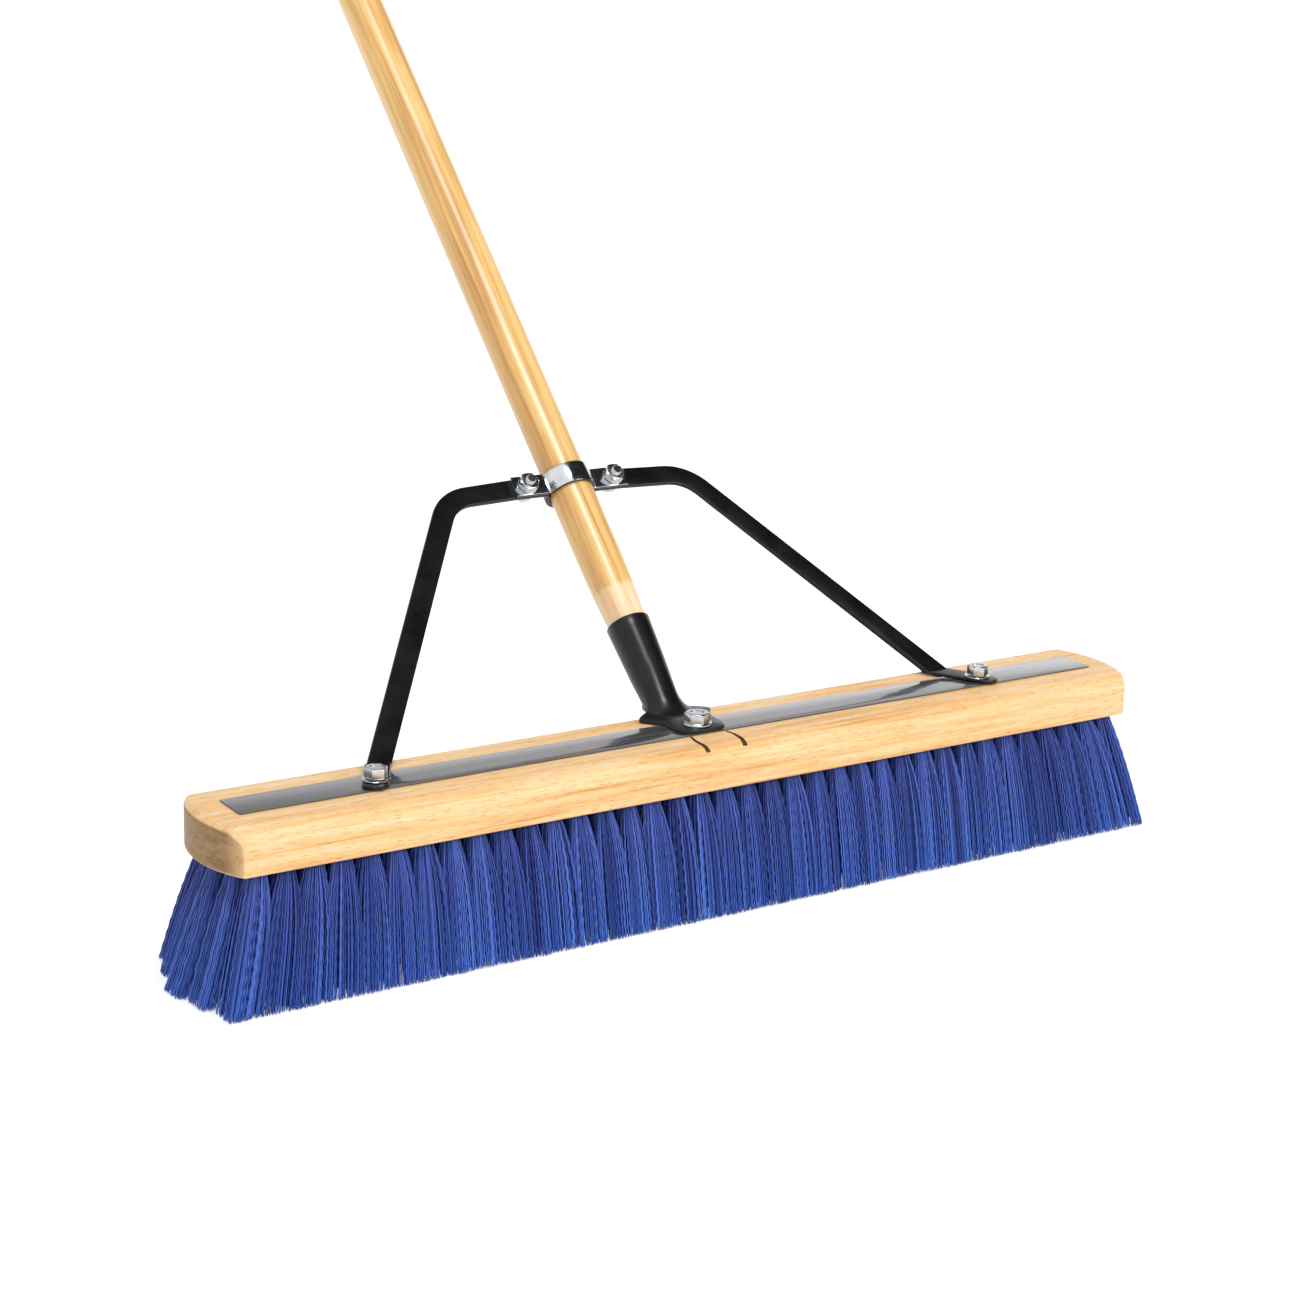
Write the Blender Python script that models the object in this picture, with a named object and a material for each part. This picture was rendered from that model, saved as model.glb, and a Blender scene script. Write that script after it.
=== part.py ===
"""A push broom: hardwood block, five rows of bristle tufts, wooden handle in a steel socket, steel brace.

Frame: metres, +Z up. The origin is on the floor under the middle of the block. The block runs along X,
the handle leans back towards +Y, and the front of the broom faces -Y.
"""
import math

import bmesh
import bpy
from mathutils import Matrix, Vector

# ---- driving dimensions --------------------------------------------------------------------------
GAP = 0.0003                    # clearance left between neighbouring pieces
TRIM = 0.070                    # free length of the bristles

BLOCK_LENGTH = 0.610
BLOCK_WIDTH = 0.0725
BLOCK_THICK = 0.025
BLOCK_END_BULGE = 0.011         # how far each curved end stands out past its corners
BLOCK_TOP_ROUND = 0.0095       # round-over of the two long top edges
BLOCK_EASE = 0.0012             # eased sharp edges
BLOCK_CORNER = 0.003            # radius of the four corners in plan
BLOCK_TOP = TRIM + BLOCK_THICK

# the two short grooves in the front margin: plan points from the strip out over the round-over
GROOVES = (((0.0119, -0.0126), (0.0131, -0.0188), (0.0124, -0.0249), (0.0110, -0.0333)),
           ((-0.0119, -0.0126), (-0.0134, -0.0188), (-0.0139, -0.0249), (-0.0138, -0.0333)))
GROOVE_RADII = (0.0008, 0.0010, 0.0013, 0.0015)

STRIP_LENGTH = 0.572
STRIP_WIDTH = 0.0245
STRIP_THICK = 0.0004
DECK = BLOCK_TOP + GAP + STRIP_THICK + GAP      # underside of the steel parts on the label strip

ROWS = 5
TUFTS_PER_ROW = 37
ROW_PITCH_ROOT = 0.0135
ROW_PITCH_TIP = 0.0200
ROW_THICK_ROOT = 0.0080
TUFT_HALF_WIDTH = 0.0050        # half of a tuft's width where it leaves the block
NOTCH_DEPTH = 0.022             # how far down neighbouring tufts stay apart
ROW_HALF_LENGTH = 0.2900        # centre of the last tuft, from the middle of the block
ROW_END_SETBACK = 0.0060        # the outer rows stop this much short of the middle row
TIP_FLARE = 0.0205              # the end tufts lean out by this much at the floor

HANDLE_RADIUS = 0.0132
HANDLE_TILT = math.radians(45.33)               # from vertical, towards +Y
HANDLE_FOOT_Y = 0.0302          # where the handle's axis meets the top of the block
HANDLE_LENGTH = 1.524
HANDLE_START = 0.014            # lower end of the wood, measured along the axis from the block's top
HANDLE_CHAMFER = 0.0015         # at its lower end
HANDLE_TAPER = (0.078, 0.01275) # a point on the taper above the socket: place along the axis, radius
HANDLE_SHOULDER = 0.110         # full thickness from here up

SOCKET_START = 0.0015
SOCKET_RIM = 0.0605
SOCKET_RADIUS_LOW = 0.0106
SOCKET_RADIUS_RIM = 0.0131
SOCKET_WALL = 0.0012
TONGUE_THICK = 0.0018
TONGUE_HALF_WIDTH = 0.0155
TONGUE_FRONT_Y = -0.0112
TONGUE_CORNER = 0.0075
EAR_TIP = (0.0248, 0.0214)      # the foot is widest here, beside the tube
SOCKET_SCREW_Y = -0.0010
SOCKET_SCREW_ACROSS = 0.0127    # across the flats of its head
SOCKET_SCREW_HEAD = 0.0053
FLANGE_RADIUS = 0.0086
FLANGE_THICK = 0.0014

BAR_WIDTH = 0.0130
BAR_THICK = 0.0030
BRACE_FOOT_X = 0.19215          # middle of a leg where it reaches the block
BRACE_FOOT_Y = 0.0181
BRACE_BEND_X = 0.0825
BRACE_BEND_DROP = 0.0020        # the upper bars fall this much from the clamp to the bends
BRACE_BEND_RADIUS = 0.027
CLAMP_AT = 0.1585               # along the handle from the block's top
CLAMP_BOLT_X = 0.0297
CLAMP_EAR_END = 0.0385
STRAP_WIDTH = 0.0135
STRAP_THICK = 0.0018
TAB_CENTRE = (0.2037, -0.0023)
TAB_WIDTH = 0.0140
TAB_TIP = 0.0125                # their round ends reach this far past the screws
TAB_THICK = 0.0018              # the feet are pressed thinner than the bar
TAB_REAR = 0.0055               # they reach this far behind the foot of the leg
EAR_RUN = 0.006                 # the bar stays flat this far past each clamp bolt
SADDLE_CORNER = 0.0035          # bend radius where bar and strap turn off the handle

SCREW_RADIUS = 0.0031
HEX_ACROSS = 0.0110             # across the flats of the other heads and of the nuts
# how far each wood screw's head is turned, in degrees, from having a flat squarely to the front
SCREW_TURNS = {"socket": -35, "left": -14, "right": -33}
FOOT_SCREW_HEAD = 0.0060
BOLT_HEAD = 0.0042
NUT_HEIGHT = 0.0050
BOLT_END = 0.0025               # how far a clamp bolt stands out of its nut
WASHER_RADIUS = 0.0077
WASHER_THICK = 0.0007
SCREW_HOLE_RADIUS = SCREW_RADIUS + GAP
SCREW_DEPTH = 0.0190            # how far a wood screw reaches into the block
SMOOTH = 32                     # facets around the larger round pieces
FINE = 20                       # facets around fasteners

# ---- directions and places worked out from the dimensions ----------------------------------------
ALONG = Vector((0, math.sin(HANDLE_TILT), math.cos(HANDLE_TILT)))       # up the handle
FACING = Vector((0, -math.cos(HANDLE_TILT), math.sin(HANDLE_TILT)))     # square to it, to the front
SIDE = Vector((1, 0, 0))
HANDLE_FOOT = Vector((0, HANDLE_FOOT_Y, BLOCK_TOP))
CLAMP_CENTRE = HANDLE_FOOT + CLAMP_AT * ALONG
BRACE_FOOT = Vector((0, BRACE_FOOT_Y, BLOCK_TOP))
BRACE_HEIGHT = (CLAMP_CENTRE - BRACE_FOOT).length
BRACE_UP = (CLAMP_CENTRE - BRACE_FOOT) / BRACE_HEIGHT
BRACE_FACING = Vector((0, -BRACE_UP.z, BRACE_UP.y))


# ---- shared helpers ------------------------------------------------------------------------------
def material(name, colour, roughness, metallic=0.0):
    """A plain Principled material."""
    made = bpy.data.materials.new(name)
    made.use_nodes = True
    shader = made.node_tree.nodes["Principled BSDF"]
    shader.inputs["Base Color"].default_value = (*colour, 1.0)
    shader.inputs["Roughness"].default_value = roughness
    shader.inputs["Metallic"].default_value = metallic
    return made


def add(name, mesh_data, finish=None, place=Matrix.Identity(4), smooth=False):
    """Turns a bmesh into a named object with its faces turned outward."""
    bmesh.ops.recalc_face_normals(mesh_data, faces=mesh_data.faces)
    mesh = bpy.data.meshes.new(name)
    mesh_data.to_mesh(mesh)
    mesh_data.free()
    obj = bpy.data.objects.new(name, mesh)
    obj.matrix_world = place
    bpy.context.scene.collection.objects.link(obj)
    if finish is not None:
        mesh.materials.append(finish)
    if smooth:
        mesh.shade_smooth()
    return obj


def frame_at(point, x_axis, y_axis, z_axis):
    """The matrix that puts local X, Y and Z along three square directions at a point."""
    turn = Matrix((x_axis, y_axis, z_axis)).transposed()
    return Matrix.Translation(point) @ turn.to_4x4()


def boolean(obj, other, operation):
    """Combines obj with a helper body, which isn't rendered."""
    other.hide_render = True
    other.display_type = "WIRE"
    modifier = obj.modifiers.new(other.name, "BOOLEAN")
    modifier.operation = operation
    modifier.solver = "EXACT"
    modifier.object = other


def loft(rings):
    """A closed body through rings of equally many points, with a flat cap at each end."""
    body = bmesh.new()
    made = [[body.verts.new(point) for point in ring] for ring in rings]
    count = len(rings[0])
    for low, high in zip(made, made[1:]):
        for i in range(count):
            j = (i + 1) % count
            body.faces.new((low[i], low[j], high[j], high[i]))
    body.faces.new(list(reversed(made[0])))
    body.faces.new(made[-1])
    return body


def circle(radius, height, facets):
    """A ring of points around Z."""
    angles = [2 * math.pi * i / facets for i in range(facets)]
    return [Vector((radius * math.cos(a), radius * math.sin(a), height)) for a in angles]


def turned(profile, facets):
    """A turned body around Z from (height, radius) pairs."""
    return loft([circle(radius, height, facets) for height, radius in profile])


def ring_body(profile, facets):
    """A turned body with a hole through it, from a closed section of (height, radius) pairs."""
    body = bmesh.new()
    rings = [[body.verts.new(p) for p in circle(radius, height, facets)] for height, radius in profile]
    for low, high in zip(rings, rings[1:] + rings[:1]):
        for i in range(facets):
            j = (i + 1) % facets
            body.faces.new((low[i], low[j], high[j], high[i]))
    return body


def plate(outline, low, high):
    """A flat plate: a plan outline carried from one height to another."""
    return loft([[Vector((x, y, z)) for x, y in outline] for z in (low, high)])


def arc(centre, radius, start, stop, steps):
    """Points along an arc, angles in degrees."""
    angles = [math.radians(start + (stop - start) * i / steps) for i in range(steps + 1)]
    return [(centre[0] + radius * math.cos(a), centre[1] + radius * math.sin(a)) for a in angles]


def fused(bodies, name, finish, smooth=False):
    """One object from several closed bodies that overlap, joined by union."""
    first, *others = bodies
    base = add(name, first, finish, smooth=smooth)
    for number, other in enumerate(others):
        boolean(base, add(f"{name}.piece{number}", other), "UNION")
    return base


def placed(body, matrix):
    """The same body, moved to its place."""
    bmesh.ops.transform(body, matrix=matrix, verts=body.verts)
    return body


def screw_hole(name, x, y):
    """A round cutter down through the strip and into the block."""
    low = BLOCK_TOP - SCREW_DEPTH - 2 * GAP
    hole = turned([(low, SCREW_HOLE_RADIUS), (DECK + 0.02, SCREW_HOLE_RADIUS)], FINE)
    return add(name, placed(hole, Matrix.Translation((x, y, 0))))


# ---- the block and what is fixed to it -----------------------------------------------------------
def block_outline():
    """Plan of the block: straight long sides, a shallow arc at each end, and rounded corners."""
    half_width = BLOCK_WIDTH / 2
    radius = (half_width ** 2 + BLOCK_END_BULGE ** 2) / (2 * BLOCK_END_BULGE)
    centre = BLOCK_LENGTH / 2 - radius
    corner_y = half_width - BLOCK_CORNER
    inner = radius - BLOCK_CORNER
    corner_x = centre + math.sqrt(inner ** 2 - corner_y ** 2)
    spread = math.degrees(math.asin(corner_y / inner))
    front = arc((corner_x, -corner_y), BLOCK_CORNER, -90, -spread, 4)
    end = arc((centre, 0), radius, -spread, spread, 14)[1:-1]
    right = front + end + [(x, -y) for x, y in reversed(front)]
    return right + [(-x, -y) for x, y in right]


def block_section():
    """End view of the block: rounded along the two top edges."""
    half = BLOCK_WIDTH / 2
    top_centre = BLOCK_TOP - BLOCK_TOP_ROUND
    right = arc((half - BLOCK_TOP_ROUND, top_centre), BLOCK_TOP_ROUND, 0, 90, 7)
    left = arc((-half + BLOCK_TOP_ROUND, top_centre), BLOCK_TOP_ROUND, 90, 180, 7)
    return [(-half, TRIM), (half, TRIM)] + right + left


def groove_cutter(name, path):
    """A round cutter that follows the top of the block, from the strip's edge out over the round-over."""
    round_y = -BLOCK_WIDTH / 2 + BLOCK_TOP_ROUND
    rings = []
    for (x, y), radius in zip(path, GROOVE_RADII):
        past = max(0.0, round_y - y)
        height = BLOCK_TOP - BLOCK_TOP_ROUND + math.sqrt(BLOCK_TOP_ROUND ** 2 - past ** 2)
        rings.append([Vector((x + p.x, y, height + p.y)) for p in circle(radius, 0, 12)])
    return add(name, loft(rings))


def build_block(finish, holes):
    block = add("block", plate(block_outline(), TRIM, BLOCK_TOP), finish)
    reach = BLOCK_LENGTH / 2 + 0.01
    section = loft([[Vector((x, y, z)) for y, z in block_section()] for x in (-reach, reach)])
    boolean(block, add("block.section", section), "INTERSECT")
    ease = block.modifiers.new("ease", "BEVEL")
    ease.limit_method = "ANGLE"
    ease.angle_limit = math.radians(40)
    ease.width = BLOCK_EASE
    ease.segments = 2
    for name, path in zip(("groove.right", "groove.left"), GROOVES):
        boolean(block, groove_cutter(name, path), "DIFFERENCE")
    for hole in holes:
        boolean(block, hole, "DIFFERENCE")


def build_label_strip(finish, holes):
    """The thin laminate glued along the top of the block."""
    half_length, half_width = STRIP_LENGTH / 2, STRIP_WIDTH / 2
    corners = [(-half_length, -half_width), (half_length, -half_width),
               (half_length, half_width), (-half_length, half_width)]
    low = BLOCK_TOP + GAP
    strip = add("label_strip", plate(corners, low, low + STRIP_THICK), finish)
    for hole in holes:
        boolean(strip, hole, "DIFFERENCE")


# ---- bristles ------------------------------------------------------------------------------------
def lean_out(x, drop):
    """How far a point at x has leaned outward, a share of the way (drop, 0 to 1) down to the floor."""
    return x + math.copysign(TIP_FLARE * abs(x / ROW_HALF_LENGTH) ** 5, x) * drop


def row_outline(half_length):
    """Front view of a row as (x, drop) pairs: separate tufts at the top that merge on the way down."""
    pitch = 2 * half_length / (TUFTS_PER_ROW - 1)
    notch = NOTCH_DEPTH / TRIM
    points = []
    for i in range(TUFTS_PER_ROW):
        x = -half_length + i * pitch
        points += [(x - TUFT_HALF_WIDTH, 0.0), (x + TUFT_HALF_WIDTH, 0.0)]
        if i < TUFTS_PER_ROW - 1:
            points.append((x + pitch / 2, notch))
    end = half_length + TUFT_HALF_WIDTH
    return points + [(end, 1.0), (-end, 1.0)]


def build_tuft_row(number, finish):
    """One row of tufts as a comb-topped slab that widens towards the floor."""
    place = number - (ROWS - 1) / 2
    outline = row_outline(ROW_HALF_LENGTH - ROW_END_SETBACK * abs(place) / 2)
    root_z = TRIM - GAP
    tip_thick = ROW_PITCH_TIP - 2 * GAP
    sides = []
    for side in (-0.5, 0.5):
        ring = []
        for x, drop in outline:
            centre = place * (ROW_PITCH_ROOT + (ROW_PITCH_TIP - ROW_PITCH_ROOT) * drop)
            thick = ROW_THICK_ROOT + (tip_thick - ROW_THICK_ROOT) * drop
            ring.append(Vector((lean_out(x, drop), centre + side * thick, root_z * (1 - drop))))
        sides.append(ring)
    add(f"tuft_row_{number + 1}", loft(sides), finish)


# ---- handle and socket ---------------------------------------------------------------------------
def along_handle():
    """The frame whose Z runs up the handle's axis from the block's top."""
    return frame_at(HANDLE_FOOT, SIDE, -FACING, ALONG)


def bore_radius(height):
    """Inner radius of the tapered socket at a height along the handle's axis."""
    share = (height - SOCKET_START) / (SOCKET_RIM - SOCKET_START)
    return SOCKET_RADIUS_LOW + share * (SOCKET_RADIUS_RIM - SOCKET_RADIUS_LOW) - SOCKET_WALL


def build_handle(finish):
    """The turned wooden handle: tapered to fit the socket, straight above, domed at the top."""
    shoulder = HANDLE_SHOULDER
    top = HANDLE_START + HANDLE_LENGTH
    chamfered = HANDLE_START + HANDLE_CHAMFER
    profile = [(HANDLE_START, bore_radius(HANDLE_START) - GAP - HANDLE_CHAMFER),
               (chamfered, bore_radius(chamfered) - GAP),
               (SOCKET_RIM, bore_radius(SOCKET_RIM) - GAP),
               HANDLE_TAPER, (shoulder, HANDLE_RADIUS)]
    profile += [(shoulder + (top - HANDLE_RADIUS - shoulder) * i / 4, HANDLE_RADIUS) for i in (1, 2, 3)]
    for degrees in range(0, 90, 15):
        angle = math.radians(degrees)
        height = top - HANDLE_RADIUS + HANDLE_RADIUS * math.sin(angle)
        profile.append((height, HANDLE_RADIUS * math.cos(angle)))
    tip_flat = 0.0012
    profile.append((top - 0.0001, tip_flat))
    add("handle", turned(profile, SMOOTH), finish, along_handle(), smooth=True)


def tongue_outline():
    """Plan of the socket's foot: wide ears beside the tube and a rounded tongue to the front."""
    centre = (TONGUE_HALF_WIDTH - TONGUE_CORNER, TONGUE_FRONT_Y + TONGUE_CORNER)
    front = arc(centre, TONGUE_CORNER, -90, 0, 5)
    right = front + [(0.0180, 0.0100), EAR_TIP, (0.0165, 0.0285), (0.0100, 0.0335)]
    return right + [(-x, y) for x, y in reversed(right)]


def neck_ring(height, centre_y, radius):
    """One ring of the neck that joins the tube to its foot, at a height above the deck."""
    return [Vector((x, y, DECK + height)) for x, y in arc((0, centre_y), radius, 0, 337.5, 15)]


def build_socket(finish, hole):
    """The tapered steel socket with its flattened foot, pressed from one sheet."""
    buried = -0.012
    outer = turned([(buried, SOCKET_RADIUS_LOW - 0.0005), (SOCKET_START, SOCKET_RADIUS_LOW),
                    (SOCKET_RIM, SOCKET_RADIUS_RIM)], SMOOTH)
    foot = plate(tongue_outline(), DECK, DECK + TONGUE_THICK)
    neck = loft([neck_ring(0.0008, 0.0255, 0.0125), neck_ring(TONGUE_THICK + 0.0030, 0.0280, 0.0108),
                 neck_ring(TONGUE_THICK + 0.0080, 0.0330, 0.0085)])
    socket = fused([foot, placed(outer, along_handle()), neck], "handle_socket", finish)
    reach = 0.05
    below = [(-reach, -reach), (reach, -reach), (reach, 2 * reach), (-reach, 2 * reach)]
    boolean(socket, add("socket.below", plate(below, DECK - reach, DECK)), "DIFFERENCE")
    floor = HANDLE_START - 2 * GAP
    past_rim = SOCKET_RIM + 0.01
    bore = turned([(floor, bore_radius(floor)), (past_rim, bore_radius(past_rim))], SMOOTH)
    boolean(socket, add("socket.bore", bore, place=along_handle()), "DIFFERENCE")
    boolean(socket, hole, "DIFFERENCE")


# ---- brace ---------------------------------------------------------------------------------------
def brace_point(x, height):
    """A point in the plane of the brace's flat bars."""
    return BRACE_FOOT + SIDE * x + BRACE_UP * height


def bend_stations(side):
    """Stations (point, half-width vector) along one upper bar, around its bend and down its leg."""
    bend_height = BRACE_HEIGHT - BRACE_BEND_DROP
    bend = Vector((BRACE_BEND_X, bend_height))
    inner = Vector((CLAMP_BOLT_X, BRACE_HEIGHT))
    foot = Vector((BRACE_FOOT_X, 0))
    incoming = (bend - inner).normalized()
    outgoing = (foot - bend).normalized()
    turn = incoming.angle(outgoing)
    setback = BRACE_BEND_RADIUS * math.tan(turn / 2)
    start = bend - incoming * setback
    centre = start + Vector((incoming.y, -incoming.x)) * BRACE_BEND_RADIUS
    first = math.atan2(start.y - centre.y, start.x - centre.x)
    stations = []
    steps = 6
    for i in range(steps + 1):
        angle = first - turn * i / steps
        outward = Vector((math.cos(angle), math.sin(angle)))
        stations.append((centre + outward * BRACE_BEND_RADIUS, outward))
    made = []
    for point, outward in stations:
        half = (SIDE * side * outward.x + BRACE_UP * outward.y) * BAR_WIDTH / 2
        made.append((brace_point(side * point.x, point.y), half, BRACE_FACING * BAR_THICK / 2))
    down = SIDE * side * outgoing.x + BRACE_UP * outgoing.y
    point, half, thick = made[-1]
    end = point + down * ((DECK + TAB_THICK / 2 - point.z) / down.z)
    made.append((end, half - down * (half.z / down.z), thick - down * (thick.z / down.z)))
    return made


def around_handle(x, depth):
    """A point in the plane square to the handle at the clamp: sideways and towards the front."""
    return CLAMP_CENTRE + SIDE * x + FACING * depth


def saddle_path(wrap_radius, front, ear_end):
    """Half path (x >= 0) of a strip from the handle's centre line out to the end of an ear.

    Each entry is (x, depth, normal x, normal depth). front is 1 to pass before the handle, -1 behind.
    """
    corner = SADDLE_CORNER
    lift = math.asin(corner / wrap_radius)
    path = []
    steps = 7
    for i in range(steps + 1):
        angle = math.pi / 2 - (math.pi / 2 - lift) * i / steps
        path.append((wrap_radius * math.cos(angle), front * wrap_radius * math.sin(angle),
                     math.cos(angle), front * math.sin(angle)))
    knee_x = path[-1][0] + corner
    for degrees in (35, 65, 90):
        angle = math.radians(degrees)
        path.append((knee_x - corner * math.cos(angle), front * corner * (1 - math.sin(angle)),
                     math.cos(angle), front * math.sin(angle)))
    path.append((ear_end, 0.0, 0.0, float(front)))
    return path


def ribbon(stations):
    """A flat bar through stations of (point, half-width vector, half-thickness vector)."""
    return loft([[p - w - t, p + w - t, p + w + t, p - w + t] for p, w, t in stations])


def tab_outline():
    """Plan of the right foot: the leg's end folded flat along X, with a round tip past its screw."""
    screw = Vector(TAB_CENTRE)
    along = (screw - Vector((BRACE_FOOT_X, BRACE_FOOT_Y))).normalized()
    heading = math.degrees(math.atan2(along.y, along.x))
    centre = screw + along * (TAB_TIP - TAB_WIDTH / 2)
    tip = arc(centre, TAB_WIDTH / 2, heading - 90, heading + 90, 12)
    rear = BRACE_FOOT_Y + TAB_REAR
    first, last = [(x + along.x / along.y * (rear - y), rear) for x, y in (tip[0], tip[-1])]
    return [first] + tip + [last]


def build_brace(finish):
    """One flat steel bar: foot, leg, upper bar, around the back of the handle, and down again."""
    wrap = HANDLE_RADIUS + GAP + BAR_THICK / 2
    half = []
    for x, depth, normal_x, normal_depth in saddle_path(wrap, -1, CLAMP_BOLT_X + EAR_RUN):
        thick = (SIDE * normal_x + FACING * normal_depth) * -BAR_THICK / 2
        half.append((around_handle(x, depth), ALONG * BAR_WIDTH / 2, thick))
    mirror = Vector((-1, 1, 1))
    other = [(p * mirror, w * mirror, t * mirror) for p, w, t in half]
    right = bend_stations(1)
    left = bend_stations(-1)
    bar = ribbon(list(reversed(left)) + list(reversed(other))[:-1] + half + right)
    feet = []
    for side in (-1, 1):
        feet.append(plate([(side * x, y) for x, y in tab_outline()], DECK, DECK + TAB_THICK))
    brace = fused([bar] + feet, "brace", finish)
    for side in (-1, 1):
        x, y = TAB_CENTRE
        hole = turned([(DECK - 0.01, SCREW_HOLE_RADIUS), (DECK + 0.01, SCREW_HOLE_RADIUS)], FINE)
        placed(hole, Matrix.Translation((side * x, y, 0)))
        boolean(brace, add(f"tab_hole{side}", hole), "DIFFERENCE")
        boolean(brace, clamp_hole(f"bar_hole{side}", side), "DIFFERENCE")


def clamp_frame(side):
    """The frame of a clamp bolt: Z points out of the front of the brace."""
    return frame_at(around_handle(side * CLAMP_BOLT_X, 0), SIDE, ALONG, FACING)


def clamp_hole(name, side):
    hole = turned([(-0.02, SCREW_HOLE_RADIUS), (0.02, SCREW_HOLE_RADIUS)], FINE)
    return add(name, hole, place=clamp_frame(side))


def build_clamp_strap(finish):
    """The plated saddle strap over the front of the handle, with an ear on each side."""
    ear_depth = BAR_THICK / 2 + GAP + STRAP_THICK / 2
    wrap = HANDLE_RADIUS + GAP + STRAP_THICK / 2
    half = []
    for x, depth, normal_x, normal_depth in saddle_path(wrap, 1, CLAMP_EAR_END):
        shifted = max(depth, ear_depth)
        thick = (SIDE * normal_x + FACING * normal_depth) * STRAP_THICK / 2
        half.append((around_handle(x, shifted), ALONG * STRAP_WIDTH / 2, thick))
    mirror = Vector((-1, 1, 1))
    other = [(p * mirror, w * mirror, t * mirror) for p, w, t in half]
    strap = add("clamp_strap", ribbon(list(reversed(other))[:-1] + half), finish)
    for side in (-1, 1):
        boolean(strap, clamp_hole(f"ear_hole{side}", side), "DIFFERENCE")


# ---- fasteners -----------------------------------------------------------------------------------
def hexagon(across_flats, low, high):
    """A hexagonal head or nut with its outer corners taken off."""
    outer = across_flats / math.sqrt(3)
    chamfer = 0.0007
    return [circle(outer, low, 6), circle(outer, high - chamfer, 6), circle(outer - chamfer * 1.6, high, 6)]


def screw_place(label, x, y):
    """Where a wood screw stands, and how far it is turned."""
    return Matrix.Translation((x, y, 0)) @ Matrix.Rotation(math.radians(SCREW_TURNS[label]), 4, "Z")


def build_wood_screw(name, place, seat, across_flats, head_height, flange_radius, finish):
    """A hex-headed wood screw: plain shank, pointed end, and a flange under the head if it has one."""
    seat_z = seat + GAP
    end = BLOCK_TOP - SCREW_DEPTH
    point_length, point_radius = 0.005, 0.0008
    profile = [(end, point_radius), (end + point_length, SCREW_RADIUS), (seat_z + 0.001, SCREW_RADIUS)]
    shank = turned(profile, FINE)
    flange_top = seat_z + (FLANGE_THICK if flange_radius else 0.0)
    head = loft(hexagon(across_flats, seat_z, flange_top + head_height))
    bodies = [head, shank]
    if flange_radius:
        bodies.append(turned([(seat_z, flange_radius), (flange_top, flange_radius * 0.86)], SMOOTH))
    for body in bodies:
        placed(body, place)
    fused(bodies, name, finish)


def build_washer(name, x, y, seat, finish):
    low, high = seat + GAP, seat + GAP + WASHER_THICK
    hole = SCREW_HOLE_RADIUS
    section = [(low, hole), (low, WASHER_RADIUS), (high, WASHER_RADIUS), (high, hole)]
    add(name, ring_body(section, SMOOTH), finish, Matrix.Translation((x, y, 0)))


def build_clamp_fastener(label, side, finish):
    """The bolt through bar and strap, its head behind and its nut in front."""
    place = clamp_frame(side)
    back = -BAR_THICK / 2 - GAP
    front = BAR_THICK / 2 + GAP + STRAP_THICK + GAP
    nut_top = front + NUT_HEIGHT
    bolt_top = nut_top + BOLT_END
    chamfer = 0.0007
    turn_over = Matrix.Translation((0, 0, back)) @ Matrix.Rotation(math.pi, 4, "X")
    head = placed(loft(hexagon(HEX_ACROSS, 0, BOLT_HEAD)), turn_over)
    shank = turned([(back - 0.001, SCREW_RADIUS), (bolt_top - chamfer, SCREW_RADIUS),
                    (bolt_top, SCREW_RADIUS - chamfer)], FINE)
    bolt = fused([head, shank], f"clamp_bolt_{label}", finish)
    bolt.matrix_world = place
    for piece in bolt.modifiers:
        piece.object.matrix_world = place
    nut = add(f"clamp_nut_{label}", loft(hexagon(HEX_ACROSS, front, nut_top)), finish, place)
    boolean(nut, clamp_hole(f"nut_hole{side}", side), "DIFFERENCE")


def main():
    for obj in list(bpy.data.objects):
        bpy.data.objects.remove(obj, do_unlink=True)
    wood = material("block_wood", (0.80, 0.56, 0.30), 0.5)
    laminate = material("strip_laminate", (0.05, 0.05, 0.055), 0.3)
    fibre = material("bristle_fibre", (0.03, 0.07, 0.42), 0.5)
    lacquer = material("handle_wood", (0.75, 0.42, 0.15), 0.3)
    black = material("black_paint", (0.01, 0.01, 0.01), 0.3)
    zinc = material("zinc_plate", (0.75, 0.77, 0.80), 0.25, 1.0)

    tab_x, tab_y = TAB_CENTRE
    holes = [screw_hole("hole.left", -tab_x, tab_y), screw_hole("hole.right", tab_x, tab_y),
             screw_hole("hole.socket", 0, SOCKET_SCREW_Y)]
    build_block(wood, holes)
    build_label_strip(laminate, holes)
    for number in range(ROWS):
        build_tuft_row(number, fibre)
    build_handle(lacquer)
    build_socket(black, holes[2])
    build_brace(black)
    build_clamp_strap(zinc)
    build_wood_screw("socket_screw", screw_place("socket", 0, SOCKET_SCREW_Y), DECK + TONGUE_THICK,
                     SOCKET_SCREW_ACROSS, SOCKET_SCREW_HEAD, FLANGE_RADIUS, zinc)
    seat = DECK + TAB_THICK
    for label, side in (("left", -1), ("right", 1)):
        build_washer(f"foot_washer_{label}", side * tab_x, tab_y, seat, zinc)
        build_wood_screw(f"foot_screw_{label}", screw_place(label, side * tab_x, tab_y),
                         seat + GAP + WASHER_THICK, HEX_ACROSS, FOOT_SCREW_HEAD, 0.0, zinc)
        build_clamp_fastener(label, side, zinc)


main()
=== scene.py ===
"""Looks of a push broom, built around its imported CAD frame.

Metres, +Z up; the block lies along X, its front faces -Y and the handle leans back to +Y."""
import math

import bmesh
import bpy
import numpy as np
from mathutils import Matrix, Vector


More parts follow.
